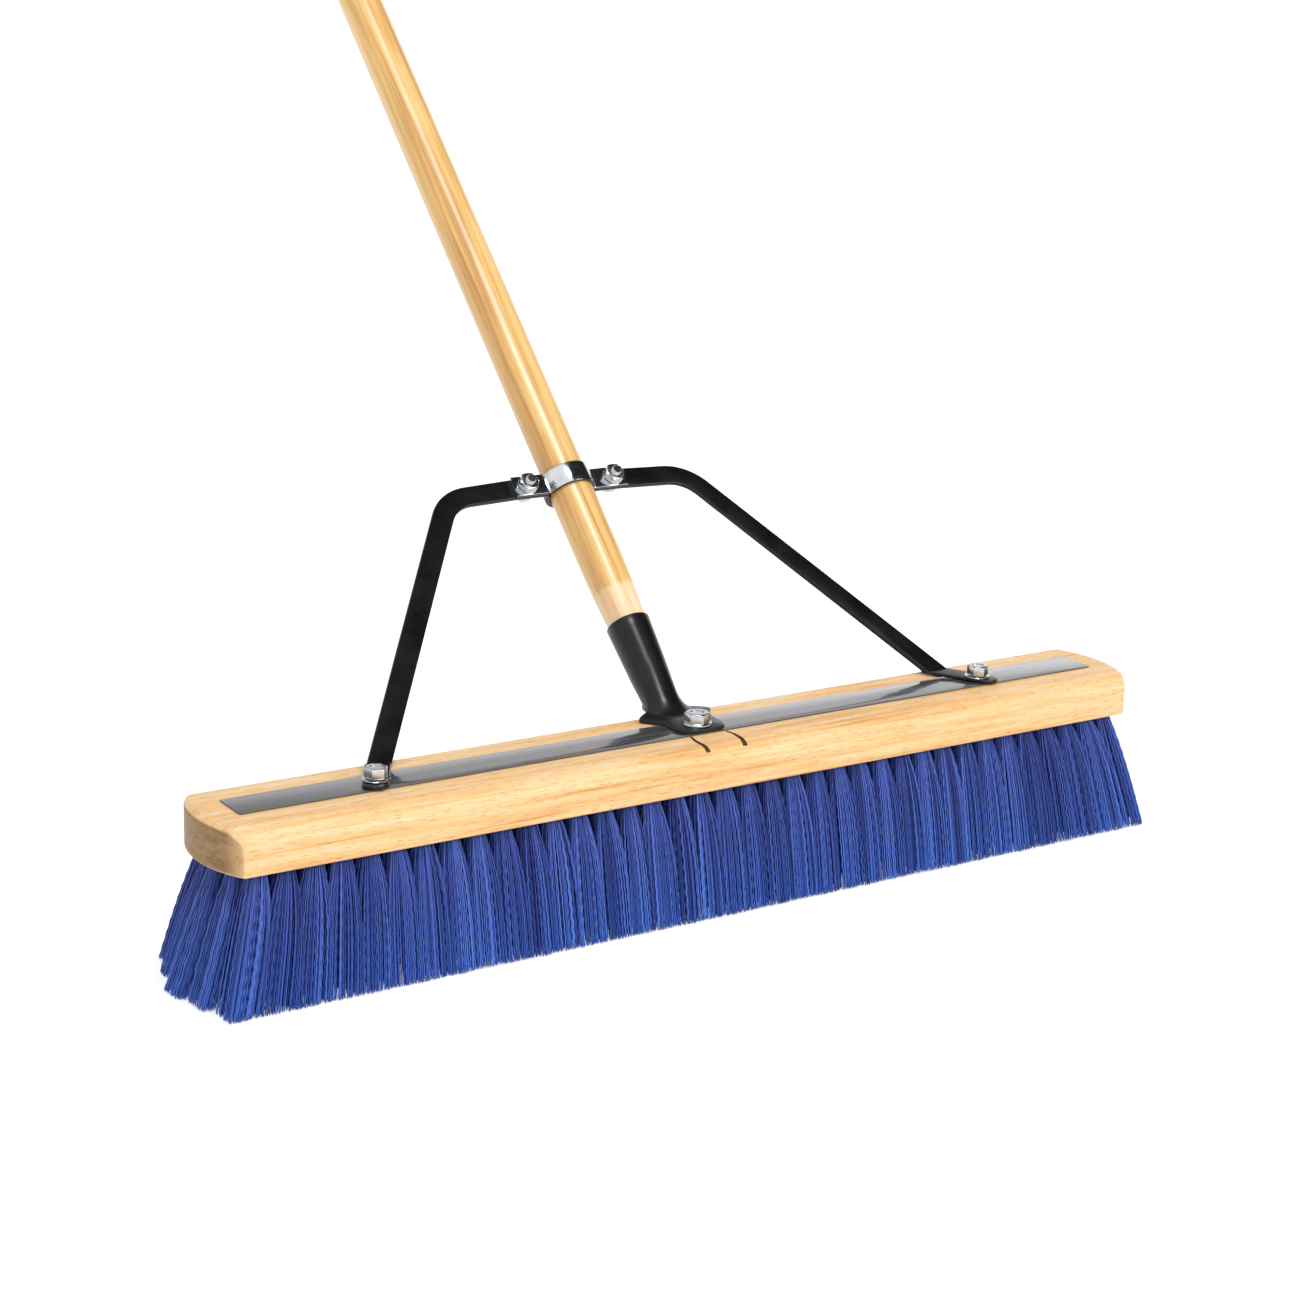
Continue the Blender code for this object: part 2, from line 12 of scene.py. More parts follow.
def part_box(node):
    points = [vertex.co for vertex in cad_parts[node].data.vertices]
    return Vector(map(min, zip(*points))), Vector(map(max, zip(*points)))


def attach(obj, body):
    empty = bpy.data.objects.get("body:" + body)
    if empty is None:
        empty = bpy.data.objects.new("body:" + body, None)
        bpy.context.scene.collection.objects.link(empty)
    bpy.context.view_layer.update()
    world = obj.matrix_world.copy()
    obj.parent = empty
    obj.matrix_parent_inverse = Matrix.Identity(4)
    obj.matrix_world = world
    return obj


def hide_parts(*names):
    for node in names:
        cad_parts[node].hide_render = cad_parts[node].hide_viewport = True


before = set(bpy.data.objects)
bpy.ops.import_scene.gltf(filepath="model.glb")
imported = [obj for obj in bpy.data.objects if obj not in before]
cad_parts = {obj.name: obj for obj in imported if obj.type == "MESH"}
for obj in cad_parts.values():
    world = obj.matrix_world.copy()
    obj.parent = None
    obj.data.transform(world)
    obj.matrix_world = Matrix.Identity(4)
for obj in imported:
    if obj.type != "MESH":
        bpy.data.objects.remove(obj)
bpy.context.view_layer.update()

# ---- places taken from the CAD frame -----------------------------------------
BLOCK_LOW, BLOCK_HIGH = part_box("block")
STRIP_LOW, STRIP_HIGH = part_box("label_strip")
TRIM, BLOCK_TOP = BLOCK_LOW.z, BLOCK_HIGH.z
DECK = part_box("handle_socket")[0].z             # underside of the steel feet
SIDE = Vector((1, 0, 0))


def cad_points(node):
    """The vertices of a CAD node, as an array."""
    return np.array([v.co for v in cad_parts[node].data.vertices], float)


def handle_axis():
    """Direction of the handle, and the point where its axis meets the top of the block."""
    points = cad_points("handle")
    middle = points.mean(0)
    along = np.linalg.svd(points - middle, full_matrices=False)[2][0]
    along = along * np.sign(along[2])
    foot = middle + along * (BLOCK_TOP - middle[2]) / along[2]
    return Vector((0, along[1], along[2])).normalized(), Vector((0, foot[1], foot[2]))


ALONG, HANDLE_FOOT = handle_axis()
FACING = Vector((0, -ALONG.z, ALONG.y))


def span(node, axis, origin):
    """How far a CAD node reaches along a direction, (lowest, highest)."""
    reach = (cad_points(node) - np.array(origin)) @ np.array(axis)
    return float(reach.min()), float(reach.max())


HANDLE_START, HANDLE_END = span("handle", ALONG, HANDLE_FOOT)
CLAMP_AT = sum(span("clamp_nut_left", ALONG, HANDLE_FOOT)) / 2
CLAMP_CENTRE = HANDLE_FOOT + CLAMP_AT * ALONG
CLAMP_BOLT_X = sum(span("clamp_nut_right", SIDE, Vector())) / 2
CLAMP_EAR_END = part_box("clamp_strap")[1].x
TAB_CENTRE = sum(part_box("foot_washer_right"), Vector()) / 2
SOCKET_SCREW_Y = (sum(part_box("socket_screw"), Vector()) / 2).y
SCREW_PLACES = ((-TAB_CENTRE.x, TAB_CENTRE.y), (TAB_CENTRE.x, TAB_CENTRE.y), (0, SOCKET_SCREW_Y))

# ---- sizes that the pieces share with the CAD --------------------------------
GAP = 0.0003                            # clearance between neighbouring parts
BLOCK_TOP_ROUND, BLOCK_END_BULGE = 0.0095, 0.011
BLOCK_EASE, BLOCK_END_EASE, BLOCK_END_ROUND = 0.0014, 0.0012, 0.0042
BLOCK_END_BLEND = 0.008                 # height over which the end's edge goes from eased to round
GROOVES = (((0.0119, -0.0126), (0.0131, -0.0188), (0.0124, -0.0249), (0.0110, -0.0333)),
           ((-0.0119, -0.0126), (-0.0134, -0.0188), (-0.0139, -0.0249), (-0.0138, -0.0333)))
GROOVE_RADII = (0.0008, 0.0010, 0.0013, 0.0015)
STRIP_CORNER, STRIP_EASE = 0.0012, 0.0001
ROWS, TUFTS_PER_ROW = 5, 37
ROW_PITCH_ROOT, ROW_PITCH_TIP = 0.0135, 0.0200
ROW_HALF_LENGTH, ROW_END_SETBACK = 0.2900, 0.0060
HANDLE_RADIUS, HANDLE_SHOULDER, HANDLE_NOSE = 0.0132, 0.110, 0.0015
SOCKET_RIM, SOCKET_START, SOCKET_TUBE_END = 0.0605, 0.0015, 0.026
SOCKET_RADIUS_LOW, SOCKET_RADIUS_RIM, SOCKET_WALL, SOCKET_LIP = 0.0106, 0.0131, 0.0012, 0.0004
SOCKET_FILLET_WIDTH, SOCKET_FILLET_RISE = 0.0060, 0.0085
TONGUE_THICK, TONGUE_HALF_WIDTH, TONGUE_FRONT_Y, TONGUE_CORNER = 0.0018, 0.0155, -0.0112, 0.0075
TONGUE_EDGE_ROUND = 0.0007
BAR_WIDTH, BAR_THICK, BAR_EDGE = 0.0130, 0.0030, 0.0007
BRACE_FOOT_X, BRACE_FOOT_Y = 0.19215, 0.0181
BRACE_BEND_X, BRACE_BEND_DROP, BRACE_BEND_RADIUS = 0.0825, 0.0020, 0.027
STRAP_WIDTH, STRAP_THICK, STRAP_EDGE = 0.0135, 0.0018, 0.0004
SADDLE_CORNER, SADDLE_CORNER_FROM = 0.0035, 16      # bend between wrap and ear, and its first angle
TAB_WIDTH, TAB_TIP, TAB_THICK, TAB_REAR, TAB_EDGE = 0.0140, 0.0125, 0.0018, 0.0055, 0.0005
SCREW_RADIUS, SCREW_DEPTH, SCREW_POINT = 0.0031, 0.0190, 0.0006
SCREW_THREAD, SCREW_PITCH = 0.0006, 0.0018
HOLE_RADIUS = SCREW_RADIUS + GAP
WASHER_RADIUS, WASHER_THICK, WASHER_EASE = 0.0077, 0.0007, 0.0002
HEX_ACROSS, FOOT_SCREW_HEAD = 0.0110, 0.0060
HEX_EASE, HEX_CHAMFER, HEX_FACE = 0.00018, 0.62, 0.93   # chamfer's drop and face are shares
SOCKET_SCREW_ACROSS, SOCKET_SCREW_HEAD = 0.0127, 0.0053
FLANGE_RADIUS, FLANGE_THICK = 0.0086, 0.0014
NUT_HEIGHT, BOLT_HEAD, BOLT_END = 0.0050, 0.0042, 0.0025
BOLT_THREAD, BOLT_PITCH = 0.0005, 0.0010
SCREW_TURNS = {"socket": -35, "left": -14, "right": -33}        # degrees
BRACE_FOOT = Vector((0, BRACE_FOOT_Y, BLOCK_TOP))
BRACE_HEIGHT = (CLAMP_CENTRE - BRACE_FOOT).length
BRACE_UP = (CLAMP_CENTRE - BRACE_FOOT) / BRACE_HEIGHT
BRACE_FACING = Vector((0, -BRACE_UP.z, BRACE_UP.y))


# ---- mesh helpers ------------------------------------------------------------
def from_lists(name, points, faces):
    """A new object in the scene from points and faces."""
    mesh = bpy.data.meshes.new(name)
    mesh.from_pydata(points, [], faces)
    mesh.validate()
    obj = bpy.data.objects.new(name, mesh)
    bpy.context.scene.collection.objects.link(obj)
    return obj


def outward(obj):
    """Turns the faces outward and merges doubled points."""
    body = bmesh.new()
    body.from_mesh(obj.data)
    bmesh.ops.remove_doubles(body, verts=body.verts, dist=1e-7)
    bmesh.ops.recalc_face_normals(body, faces=body.faces)
    body.to_mesh(obj.data)
    body.free()
    return obj


def loft(name, rings, looped=False):
    """A body through rings of equally many points, closed by flat ends, or looped like a washer."""
    count, total = len(rings[0]), len(rings)
    points = [tuple(p) for ring in rings for p in ring]
    faces = []
    for r in range(total if looped else total - 1):
        s = (r + 1) % total
        for i in range(count):
            j = (i + 1) % count
            faces.append((r * count + i, r * count + j, s * count + j, s * count + i))
    if not looped:
        faces.append(tuple(reversed(range(count))))
        faces.append(tuple((total - 1) * count + i for i in range(count)))
    return outward(from_lists(name, points, faces))


def circle(radius, height, facets):
    """A level ring of points around Z."""
    angles = [2 * math.pi * i / facets for i in range(facets)]
    return [Vector((radius * math.cos(a), radius * math.sin(a), height)) for a in angles]


def rounded_rectangle(half_width, half_height, corner, steps):
    """A flat outline as (x, y) pairs, with a number of steps around each corner."""
    made = []
    for quarter, (sx, sy) in enumerate(((1, 1), (-1, 1), (-1, -1), (1, -1))):
        for i in range(steps + 1):
            angle = math.pi / 2 * (quarter + i / steps)
            made.append((sx * (half_width - corner) + corner * math.cos(angle),
                         sy * (half_height - corner) + corner * math.sin(angle)))
    return made


def turned(name, profile, facets):
    """A body turned around Z from (height, radius) pairs."""
    return loft(name, [circle(radius, height, facets) for height, radius in profile])


def moved(obj, matrix):
    """Moves the mesh itself, so that the object stays at the frame's origin."""
    obj.data.transform(matrix)
    return obj


def frame_at(point, x_axis, y_axis, z_axis):
    """The placement at a point whose own axes lie along three directions."""
    turn = Matrix((x_axis, y_axis, z_axis)).transposed()
    return Matrix.Translation(point) @ turn.to_4x4()


ALONG_HANDLE = frame_at(HANDLE_FOOT, SIDE, -FACING, ALONG)


def combine(obj, others, operation):
    """Boolean with helper bodies, applied at once; the helpers are removed."""
    for other in others:
        modifier = obj.modifiers.new("shape", "BOOLEAN")
        modifier.operation, modifier.solver, modifier.object = operation, "EXACT", other
    applied(obj)
    for other in others:
        bpy.data.objects.remove(other, do_unlink=True)
    return obj


def applied(obj):
    """Applies every modifier of obj."""
    bpy.context.view_layer.update()
    shown = obj.evaluated_get(bpy.context.evaluated_depsgraph_get())
    mesh = bpy.data.meshes.new_from_object(shown)
    obj.modifiers.clear()
    obj.data = mesh
    return obj


def bevelled(obj, width, segments, degrees):
    """Rounds every edge that turns by more than an angle."""
    modifier = obj.modifiers.new("ease", "BEVEL")
    modifier.limit_method = "ANGLE"
    modifier.angle_limit = math.radians(degrees)
    modifier.width, modifier.segments = width, segments
    return applied(obj)


def piece(obj, material, nodes, sharp_degrees=32):
    """Shades obj, gives it its material, parents it to the root body and hides the CAD nodes it
    stands for.
    """
    obj.data.materials.clear()
    obj.data.materials.append(material)
    obj.data.shade_smooth()
    obj.data.set_sharp_from_angle(angle=math.radians(sharp_degrees))
    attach(obj, "root")
    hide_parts(*nodes)
    return obj


# ---- material helpers --------------------------------------------------------
class Nodes:
    """A node tree, with short ways to add and link its nodes."""

    def __init__(self, tree):
        self.tree = tree

    def put(self, node, socket, value):
        if isinstance(value, bpy.types.NodeSocket):
            self.tree.links.new(value, node.inputs[socket])
        else:
            node.inputs[socket].default_value = value

    def node(self, kind, inputs, **settings):
        made = self.tree.nodes.new("ShaderNode" + kind)
        for key, value in settings.items():
            setattr(made, key, value)
        for socket, value in inputs.items():
            self.put(made, socket, value)
        return made

    def fit(self, value, low, high, to_low, to_high):
        return self.node("MapRange", {"Value": value, "From Min": low, "From Max": high,
                                      "To Min": to_low, "To Max": to_high}).outputs[0]


class Shader(Nodes):
    """A Principled material, and the textures that drive it."""

    def __init__(self, name, values):
        self.material = bpy.data.materials.new(name)
        self.material.use_nodes = True
        super().__init__(self.material.node_tree)
        self.principled = self.tree.nodes["Principled BSDF"]
        for socket, value in values.items():
            self.set(socket, value)

    def place(self, scale, location=(0, 0, 0), rotation=(0, 0, 0)):
        """The point on the object, moved, turned and scaled."""
        where = self.node("TexCoord", {}).outputs["Object"]
        turned_to = self.node("Mapping", {"Vector": where, "Location": location,
                                          "Rotation": rotation}, vector_type="TEXTURE").outputs[0]
        return self.node("Mapping", {"Vector": turned_to, "Scale": scale}).outputs[0]

    def noise(self, where, scale=1.0, detail=3.0, rough=0.55, distort=0.0):
        return self.node("TexNoise", {"Vector": where, "Scale": scale, "Detail": detail,
                                      "Roughness": rough, "Distortion": distort}).outputs["Fac"]

    def ramp(self, factor, stops):
        made = self.node("ValToRGB", {"Fac": factor})
        elements = made.color_ramp.elements
        while len(elements) < len(stops):
            elements.new(0.5)
        for element, (position, colour) in zip(elements, stops):
            element.position, element.color = position, (*colour, 1.0)
        return made.outputs["Color"]

    def mix(self, factor, first, second):
        made = self.node("Mix", {}, data_type="RGBA")
        for index, value in ((0, factor), (6, first), (7, second)):
            if isinstance(value, tuple):
                value = (*value, 1.0)
            self.put(made, index, value)
        return made.outputs[2]

    def math(self, operation, first, second=0.0):
        return self.node("Math", {0: first, 1: second}, operation=operation).outputs[0]

    def normal_of(self, component):
        """Size of one component of the surface's normal."""
        normal = self.node("NewGeometry", {}).outputs["Normal"]
        return self.math("ABSOLUTE", self.node("SeparateXYZ", {0: normal}).outputs[component])

    def bump(self, height, strength, distance):
        made = self.node("Bump", {"Height": height, "Strength": strength, "Distance": distance})
        self.put(self.principled, "Normal", made.outputs[0])

    def set(self, socket, value):
        self.put(self.principled, socket, value)


def block_wood():
    """Warm hardwood: bands and fine grain, short pores, browner ends, and grooves coloured dark
    brown as painted shade.
    """
    s = Shader("block_wood", {"Coat Weight": 0.12, "Coat Roughness": 0.35,
                              "Specular IOR Level": 0.4})
    wide = s.noise(s.place((2.4, 26, 34)), detail=2.0, distort=0.6)
    bands = s.noise(s.place((11, 190, 230)), detail=2.0, distort=0.35)
    streaks = s.noise(s.place((16, 620, 760)), detail=3.0, rough=0.65)
    pores = s.noise(s.place((170, 2300, 2300)), detail=1.0)
    tone = s.math("ADD", s.math("MULTIPLY", wide, 0.30), s.math("MULTIPLY", bands, 0.46))
    tone = s.math("ADD", tone, s.math("MULTIPLY", streaks, 0.24))
    face = s.ramp(tone, [(0.36, (0.59, 0.27, 0.080)), (0.44, (0.77, 0.445, 0.175)),
                         (0.53, (0.82, 0.54, 0.265)), (0.64, (0.85, 0.635, 0.385))])
    dots = s.fit(pores, 0.56, 0.70, 0.0, 0.55)
    face = s.mix(dots, face, (0.42, 0.18, 0.05))
    rings = s.noise(s.place((30, 90, 260)), detail=5.0, rough=0.7, distort=1.2)
    end = s.ramp(rings, [(0.30, (0.15, 0.076, 0.017)), (0.52, (0.26, 0.145, 0.040)),
                         (0.72, (0.37, 0.215, 0.068))])
    ends = s.fit(s.normal_of(0), 0.80, 0.93, 0.0, 1.0)
    # The grooves' dark brown is painted shade, read from a per-face attribute.
    groove_shade = s.node("Attribute", {}, attribute_name="groove_shade").outputs["Fac"]
    s.set("Base Color", s.mix(groove_shade, s.mix(ends, face, end), (0.075, 0.028, 0.008)))
    s.set("Roughness", s.fit(streaks, 0.3, 0.7, 0.42, 0.60))
    s.bump(s.math("SUBTRACT", streaks, dots), 0.22, 0.0003)
    return s.material


LACQUER_EDGE = (0.0805, 0.0835)         # heights along the handle where bare wood gives way


def handle_wood():
    """Amber lacquered wood that is bare and paler just above the socket."""
    s = Shader("handle_wood", {"Coat Weight": 0.50, "Coat Roughness": 0.30,
                               "Specular IOR Level": 0.45})
    place = {"location": tuple(HANDLE_FOOT), "rotation": (-math.acos(ALONG.z), 0, 0)}
    bands = s.noise(s.place((70, 70, 3.2), **place), detail=3.0, distort=0.8)
    streaks = s.noise(s.place((480, 480, 11), **place), detail=4.0, rough=0.6)
    tone = s.math("ADD", s.math("MULTIPLY", bands, 0.6), s.math("MULTIPLY", streaks, 0.4))
    amber = s.ramp(tone, [(0.37, (0.50, 0.235, 0.062)), (0.50, (0.71, 0.42, 0.137)),
                          (0.63, (0.84, 0.58, 0.25))])
    bare = s.ramp(tone, [(0.37, (0.68, 0.42, 0.20)), (0.50, (0.81, 0.56, 0.32)),
                         (0.63, (0.88, 0.66, 0.43))])
    height = s.node("SeparateXYZ", {0: s.place((1, 1, 1), **place)}).outputs[2]
    waver = s.noise(s.place((90, 90, 20), **place), detail=2.0)
    edge = s.math("ADD", height, s.fit(waver, 0, 1, -0.003, 0.003))
    coated = s.fit(edge, *LACQUER_EDGE, 0.0, 1.0)
    s.set("Base Color", s.mix(coated, bare, amber))
    s.set("Roughness", s.fit(coated, 0, 1, 0.55, 0.32))
    s.bump(streaks, 0.18, 0.0003)
    return s.material


def strip_laminate():
    """Glossy near-black laminate with faint coloured streaks along it."""
    s = Shader("strip_laminate", {"Coat Weight": 1.0, "Coat Roughness": 0.07,
                                  "Specular IOR Level": 0.25})
    streaks = s.noise(s.place((5, 420, 420)), detail=4.0, rough=0.7)
    hues = s.noise(s.place((9, 150, 150), location=(0.3, 0, 0)), detail=2.0)
    tint = s.ramp(hues, [(0.38, (0.065, 0.085, 0.065)), (0.50, (0.075, 0.075, 0.078)),
                         (0.62, (0.095, 0.075, 0.110))])
    s.set("Base Color", s.mix(s.fit(streaks, 0.35, 0.65, 0.0, 1.0), (0.035, 0.035, 0.038), tint))
    s.set("Roughness", s.fit(streaks, 0.3, 0.7, 0.22, 0.36))
    s.bump(streaks, 0.10, 0.0001)
    return s.material


def bristle_fibre():
    """Blue crimped plastic filament, brighter towards its tip; each one has its own shade."""
    s = Shader("bristle_fibre", {"Specular IOR Level": 0.45})
    shade = s.node("Attribute", {}, attribute_name="shade").outputs["Fac"]
    along = s.noise(s.place((500, 500, 90)), detail=2.0)
    tone = s.math("ADD", s.math("MULTIPLY", shade, 0.75), s.math("MULTIPLY", along, 0.25))
    root = s.ramp(tone, [(0.15, (0.018, 0.034, 0.20)), (0.50, (0.047, 0.090, 0.40)),
                         (0.85, (0.10, 0.17, 0.60))])
    tip = s.ramp(tone, [(0.15, (0.014, 0.042, 0.25)), (0.50, (0.036, 0.110, 0.49)),
                        (0.85, (0.08, 0.21, 0.70))])
    height = s.node("SeparateXYZ", {0: s.place((1, 1, 1))}).outputs[2]
    s.set("Base Color", s.mix(s.fit(height, 0.0, TRIM * 0.7, 0.0, 1.0), tip, root))
    s.set("Roughness", s.fit(along, 0.3, 0.7, 0.34, 0.50))
    s.bump(along, 0.1, 0.0001)
    return s.material


def black_enamel():
    """Black enamel over steel, with a faint orange peel and a few dull patches."""
    s = Shader("black_enamel", {"Coat Weight": 0.10, "Coat Roughness": 0.20,
                                "Specular IOR Level": 0.30})
    peel = s.noise(s.place((1, 1, 1)), scale=420, detail=2.0)
    patches = s.noise(s.place((1, 1, 1)), scale=55, detail=4.0, rough=0.6)
    s.set("Base Color", s.ramp(patches, [(0.35, (0.0040, 0.0040, 0.0042)),
                                         (0.70, (0.0085, 0.0082, 0.0078))]))
    s.set("Roughness", s.fit(patches, 0.3, 0.7, 0.26, 0.36))
    s.bump(peel, 0.06, 0.0003)
    return s.material


def zinc_plate(name, tones, roughness, shaded_edges=False):
    """Bright zinc plate with faint bluish and yellowish clouds; a strap's thin edges get painted
    shade, a dark grey.
    """
    s = Shader(name, {"Metallic": 1.0})
    clouds = s.noise(s.place((1, 1, 1)), scale=140, detail=3.0)
    grain = s.noise(s.place((1, 1, 1)), scale=1500, detail=3.0)
    colour = s.ramp(clouds, list(zip((0.35, 0.52, 0.70), tones)))
    if shaded_edges:
        # Painted shade: the strap's edge faces, whose normals lie along the handle, are coloured
        # dark grey.
        normal = s.node("NewGeometry", {}).outputs["Normal"]
        facing = s.node("VectorMath", {0: normal, 1: tuple(ALONG)},
                        operation="DOT_PRODUCT").outputs["Value"]
        edge_shade = s.fit(s.math("ABSOLUTE", facing), 0.10, 0.45, 0.0, 1.0)
        colour = s.mix(edge_shade, colour, (0.07, 0.07, 0.075))
    s.set("Base Color", colour)
    s.set("Roughness", s.fit(clouds, 0.3, 0.7, *roughness))
    s.bump(grain, 0.03, 0.0002)
    return s.material


WOOD, LACQUER, LAMINATE = block_wood(), handle_wood(), strip_laminate()
FIBRE, ENAMEL = bristle_fibre(), black_enamel()
ZINC = zinc_plate("zinc_plate", ((0.46, 0.49, 0.54), (0.57, 0.59, 0.61), (0.61, 0.60, 0.55)),
                  (0.16, 0.28))
SADDLE = zinc_plate("strap_plate", ((0.60, 0.65, 0.73), (0.74, 0.77, 0.81), (0.80, 0.79, 0.76)),
                    (0.09, 0.16), shaded_edges=True)


# ---- block and strip ---------------------------------------------------------
def end_x(y):
    """How far the block reaches along X at a given Y, its ends being shallow arcs."""
    half = (BLOCK_HIGH.y - BLOCK_LOW.y) / 2
    radius = (half ** 2 + BLOCK_END_BULGE ** 2) / (2 * BLOCK_END_BULGE)
    return BLOCK_HIGH.x - radius + math.sqrt(radius ** 2 - y ** 2)


def block_section(inset):
    """The block's section as (y, z) points around it, every side moved inward by inset."""
    corners = ((-1, -1, BLOCK_EASE, 270, 5, 2), (-1, 1, BLOCK_TOP_ROUND, 180, 14, 12),
               (1, 1, BLOCK_TOP_ROUND, 90, 14, 2), (1, -1, BLOCK_EASE, 0, 5, 16))
    arcs = []
    for side, level, radius, first, steps, _ in corners:
        back, left = max(radius, inset), max(radius - inset, 0)
        y = side * (BLOCK_HIGH.y - back)
        z = TRIM + back if level < 0 else BLOCK_TOP - back
        angles = [math.radians(first - 90 * i / steps) for i in range(steps + 1)]
        arcs.append([(y + left * math.cos(a), z + left * math.sin(a)) for a in angles])
    section = []
    for arc, following, corner in zip(arcs, arcs[1:] + arcs[:1], corners):
        (y1, z1), (y2, z2), steps = arc[-1], following[0], corner[-1]
        section += arc
        section += [(y1 + (y2 - y1) * i / steps, z1 + (z2 - z1) * i / steps)
                    for i in range(1, steps)]
    return section


def end_ring(turn):
    """One ring of the block's end, from a turn of 0 on the long faces to a quarter on the end."""
    out, back = 1 - math.cos(turn), 1 - math.sin(turn)
    eased, rounded = block_section(BLOCK_END_EASE * out), block_section(BLOCK_END_ROUND * out)
    ring = []
    for (y1, z1), (y2, z2), (_, z) in zip(eased, rounded, block_section(0)):
        share = min(1, max(0, (z - BLOCK_TOP + BLOCK_TOP_ROUND) / BLOCK_END_BLEND))
        y, z = y1 + (y2 - y1) * share, z1 + (z2 - z1) * share
        setback = (BLOCK_END_EASE + (BLOCK_END_ROUND - BLOCK_END_EASE) * share) * back
        ring.append((end_x(y) - setback, y, z))
    return ring


def screw_hole(x, y):
    """Cutter for the hole of a wood screw."""
    low = BLOCK_TOP - SCREW_DEPTH - 2 * GAP
    hole = turned("hole", [(low, HOLE_RADIUS), (DECK + 0.02, HOLE_RADIUS)], 24)
    return moved(hole, Matrix.Translation((x, y, 0)))


def build_block():
    steps, middle = 8, (TRIM + BLOCK_TOP) / 2
    end = [end_ring(math.pi / 2 * i / steps) for i in range(steps + 1)]
    for share in (0.8, 0.55, 0.3, 0.05):        # rings that shrink towards the end face's middle
        end.append([(end_x(y * share), y * share, middle + (z - middle) * share)
                    for _, y, z in end[steps]])
    other = [[(-x, y, z) for x, y, z in ring] for ring in reversed(end)]
    block = loft("block_body", other + end)
    cutters = [screw_hole(x, y) for x, y in SCREW_PLACES]
    combine(block, cutters + [groove_cutter(path) for path in GROOVES], "DIFFERENCE")
    # Marks the faces inside the grooves, which the wood material colours dark brown as painted
    # shade.
    groove_shade = block.data.attributes.new("groove_shade", "FLOAT", "FACE")
    groove_shade.data.foreach_set("value", [float(in_groove(face.center)) for face in block.data.polygons])
    piece(block, WOOD, ["block"])


def groove_height(y):
    """Height of the block's top at y, on its flat or on its front round-over."""
    past = max(0.0, BLOCK_TOP_ROUND - BLOCK_HIGH.y - y)
    return BLOCK_TOP - BLOCK_TOP_ROUND + math.sqrt(BLOCK_TOP_ROUND ** 2 - past ** 2)


def groove_rings(path):
    """Centre and radius of a groove at closely spaced places along it."""
    ys = np.linspace(path[0][1], path[-1][1], 17)
    known = [-y for x, y in path]
    xs, radii = np.interp(-ys, known, [x for x, y in path]), np.interp(-ys, known, GROOVE_RADII)
    return [(Vector((x, y, groove_height(y))), r) for x, y, r in zip(xs, ys, radii)]


def groove_cutter(path):
    """A round cutter that follows the top of the block out over its round-over."""
    return loft("groove", [[centre + Vector((p.x, 0, p.y)) for p in circle(radius, 0, 20)]
                           for centre, radius in groove_rings(path)])


def in_groove(point):
    """Whether a point of the block's surface lies inside one of the grooves."""
    for path in GROOVES:
        for centre, radius in groove_rings(path):
            if abs(point.y - centre.y) < 0.0008 and abs(point.x - centre.x) < radius + 0.0001:
                return point.z < groove_height(point.y) - 0.00005
    return False


def build_strip():
    outline = rounded_rectangle(STRIP_HIGH.x, STRIP_HIGH.y, STRIP_CORNER, 6)
    rings = [[(x, y, z) for x, y in outline] for z in (STRIP_LOW.z, STRIP_HIGH.z)]
    strip = bevelled(loft("label_strip_face", rings), STRIP_EASE, 2, 60)
    combine(strip, [screw_hole(x, y) for x, y in SCREW_PLACES], "DIFFERENCE")
    piece(strip, LAMINATE, ["label_strip"])


# ---- bristles ----------------------------------------------------------------
FILAMENTS = {True: 165, False: 55}      # per tuft where it shows, and inside
STEPS = {True: 20, False: 12}           # lengths that make up a filament, in outer and inner rows
SIDES = 3                               # of each filament's section
FIBRE_RADIUS = 0.00036
ROOT_SIZE = (0.0048, 0.0041)            # half-sizes of a tuft along X and Y at the block
TIP_WIDTH, TIP_DEPTH = 0.0096, 0.0095   # and at the floor
END_TIP_WIDTH = 0.0062                  # on the outer side of each row's last tufts
TIP_LEAN = 0.0232                       # how far the end tufts lean out at the floor
CRIMP = (0.00016, 0.00036)              # least and most sideways swing of a filament
FLOOR_GAP = 0.0003
CLUMPS = 17                             # clumps that the filaments of a tuft gather in
GOLDEN_ANGLE = 2.39996
OUTER_ROWS = (0, ROWS - 1)


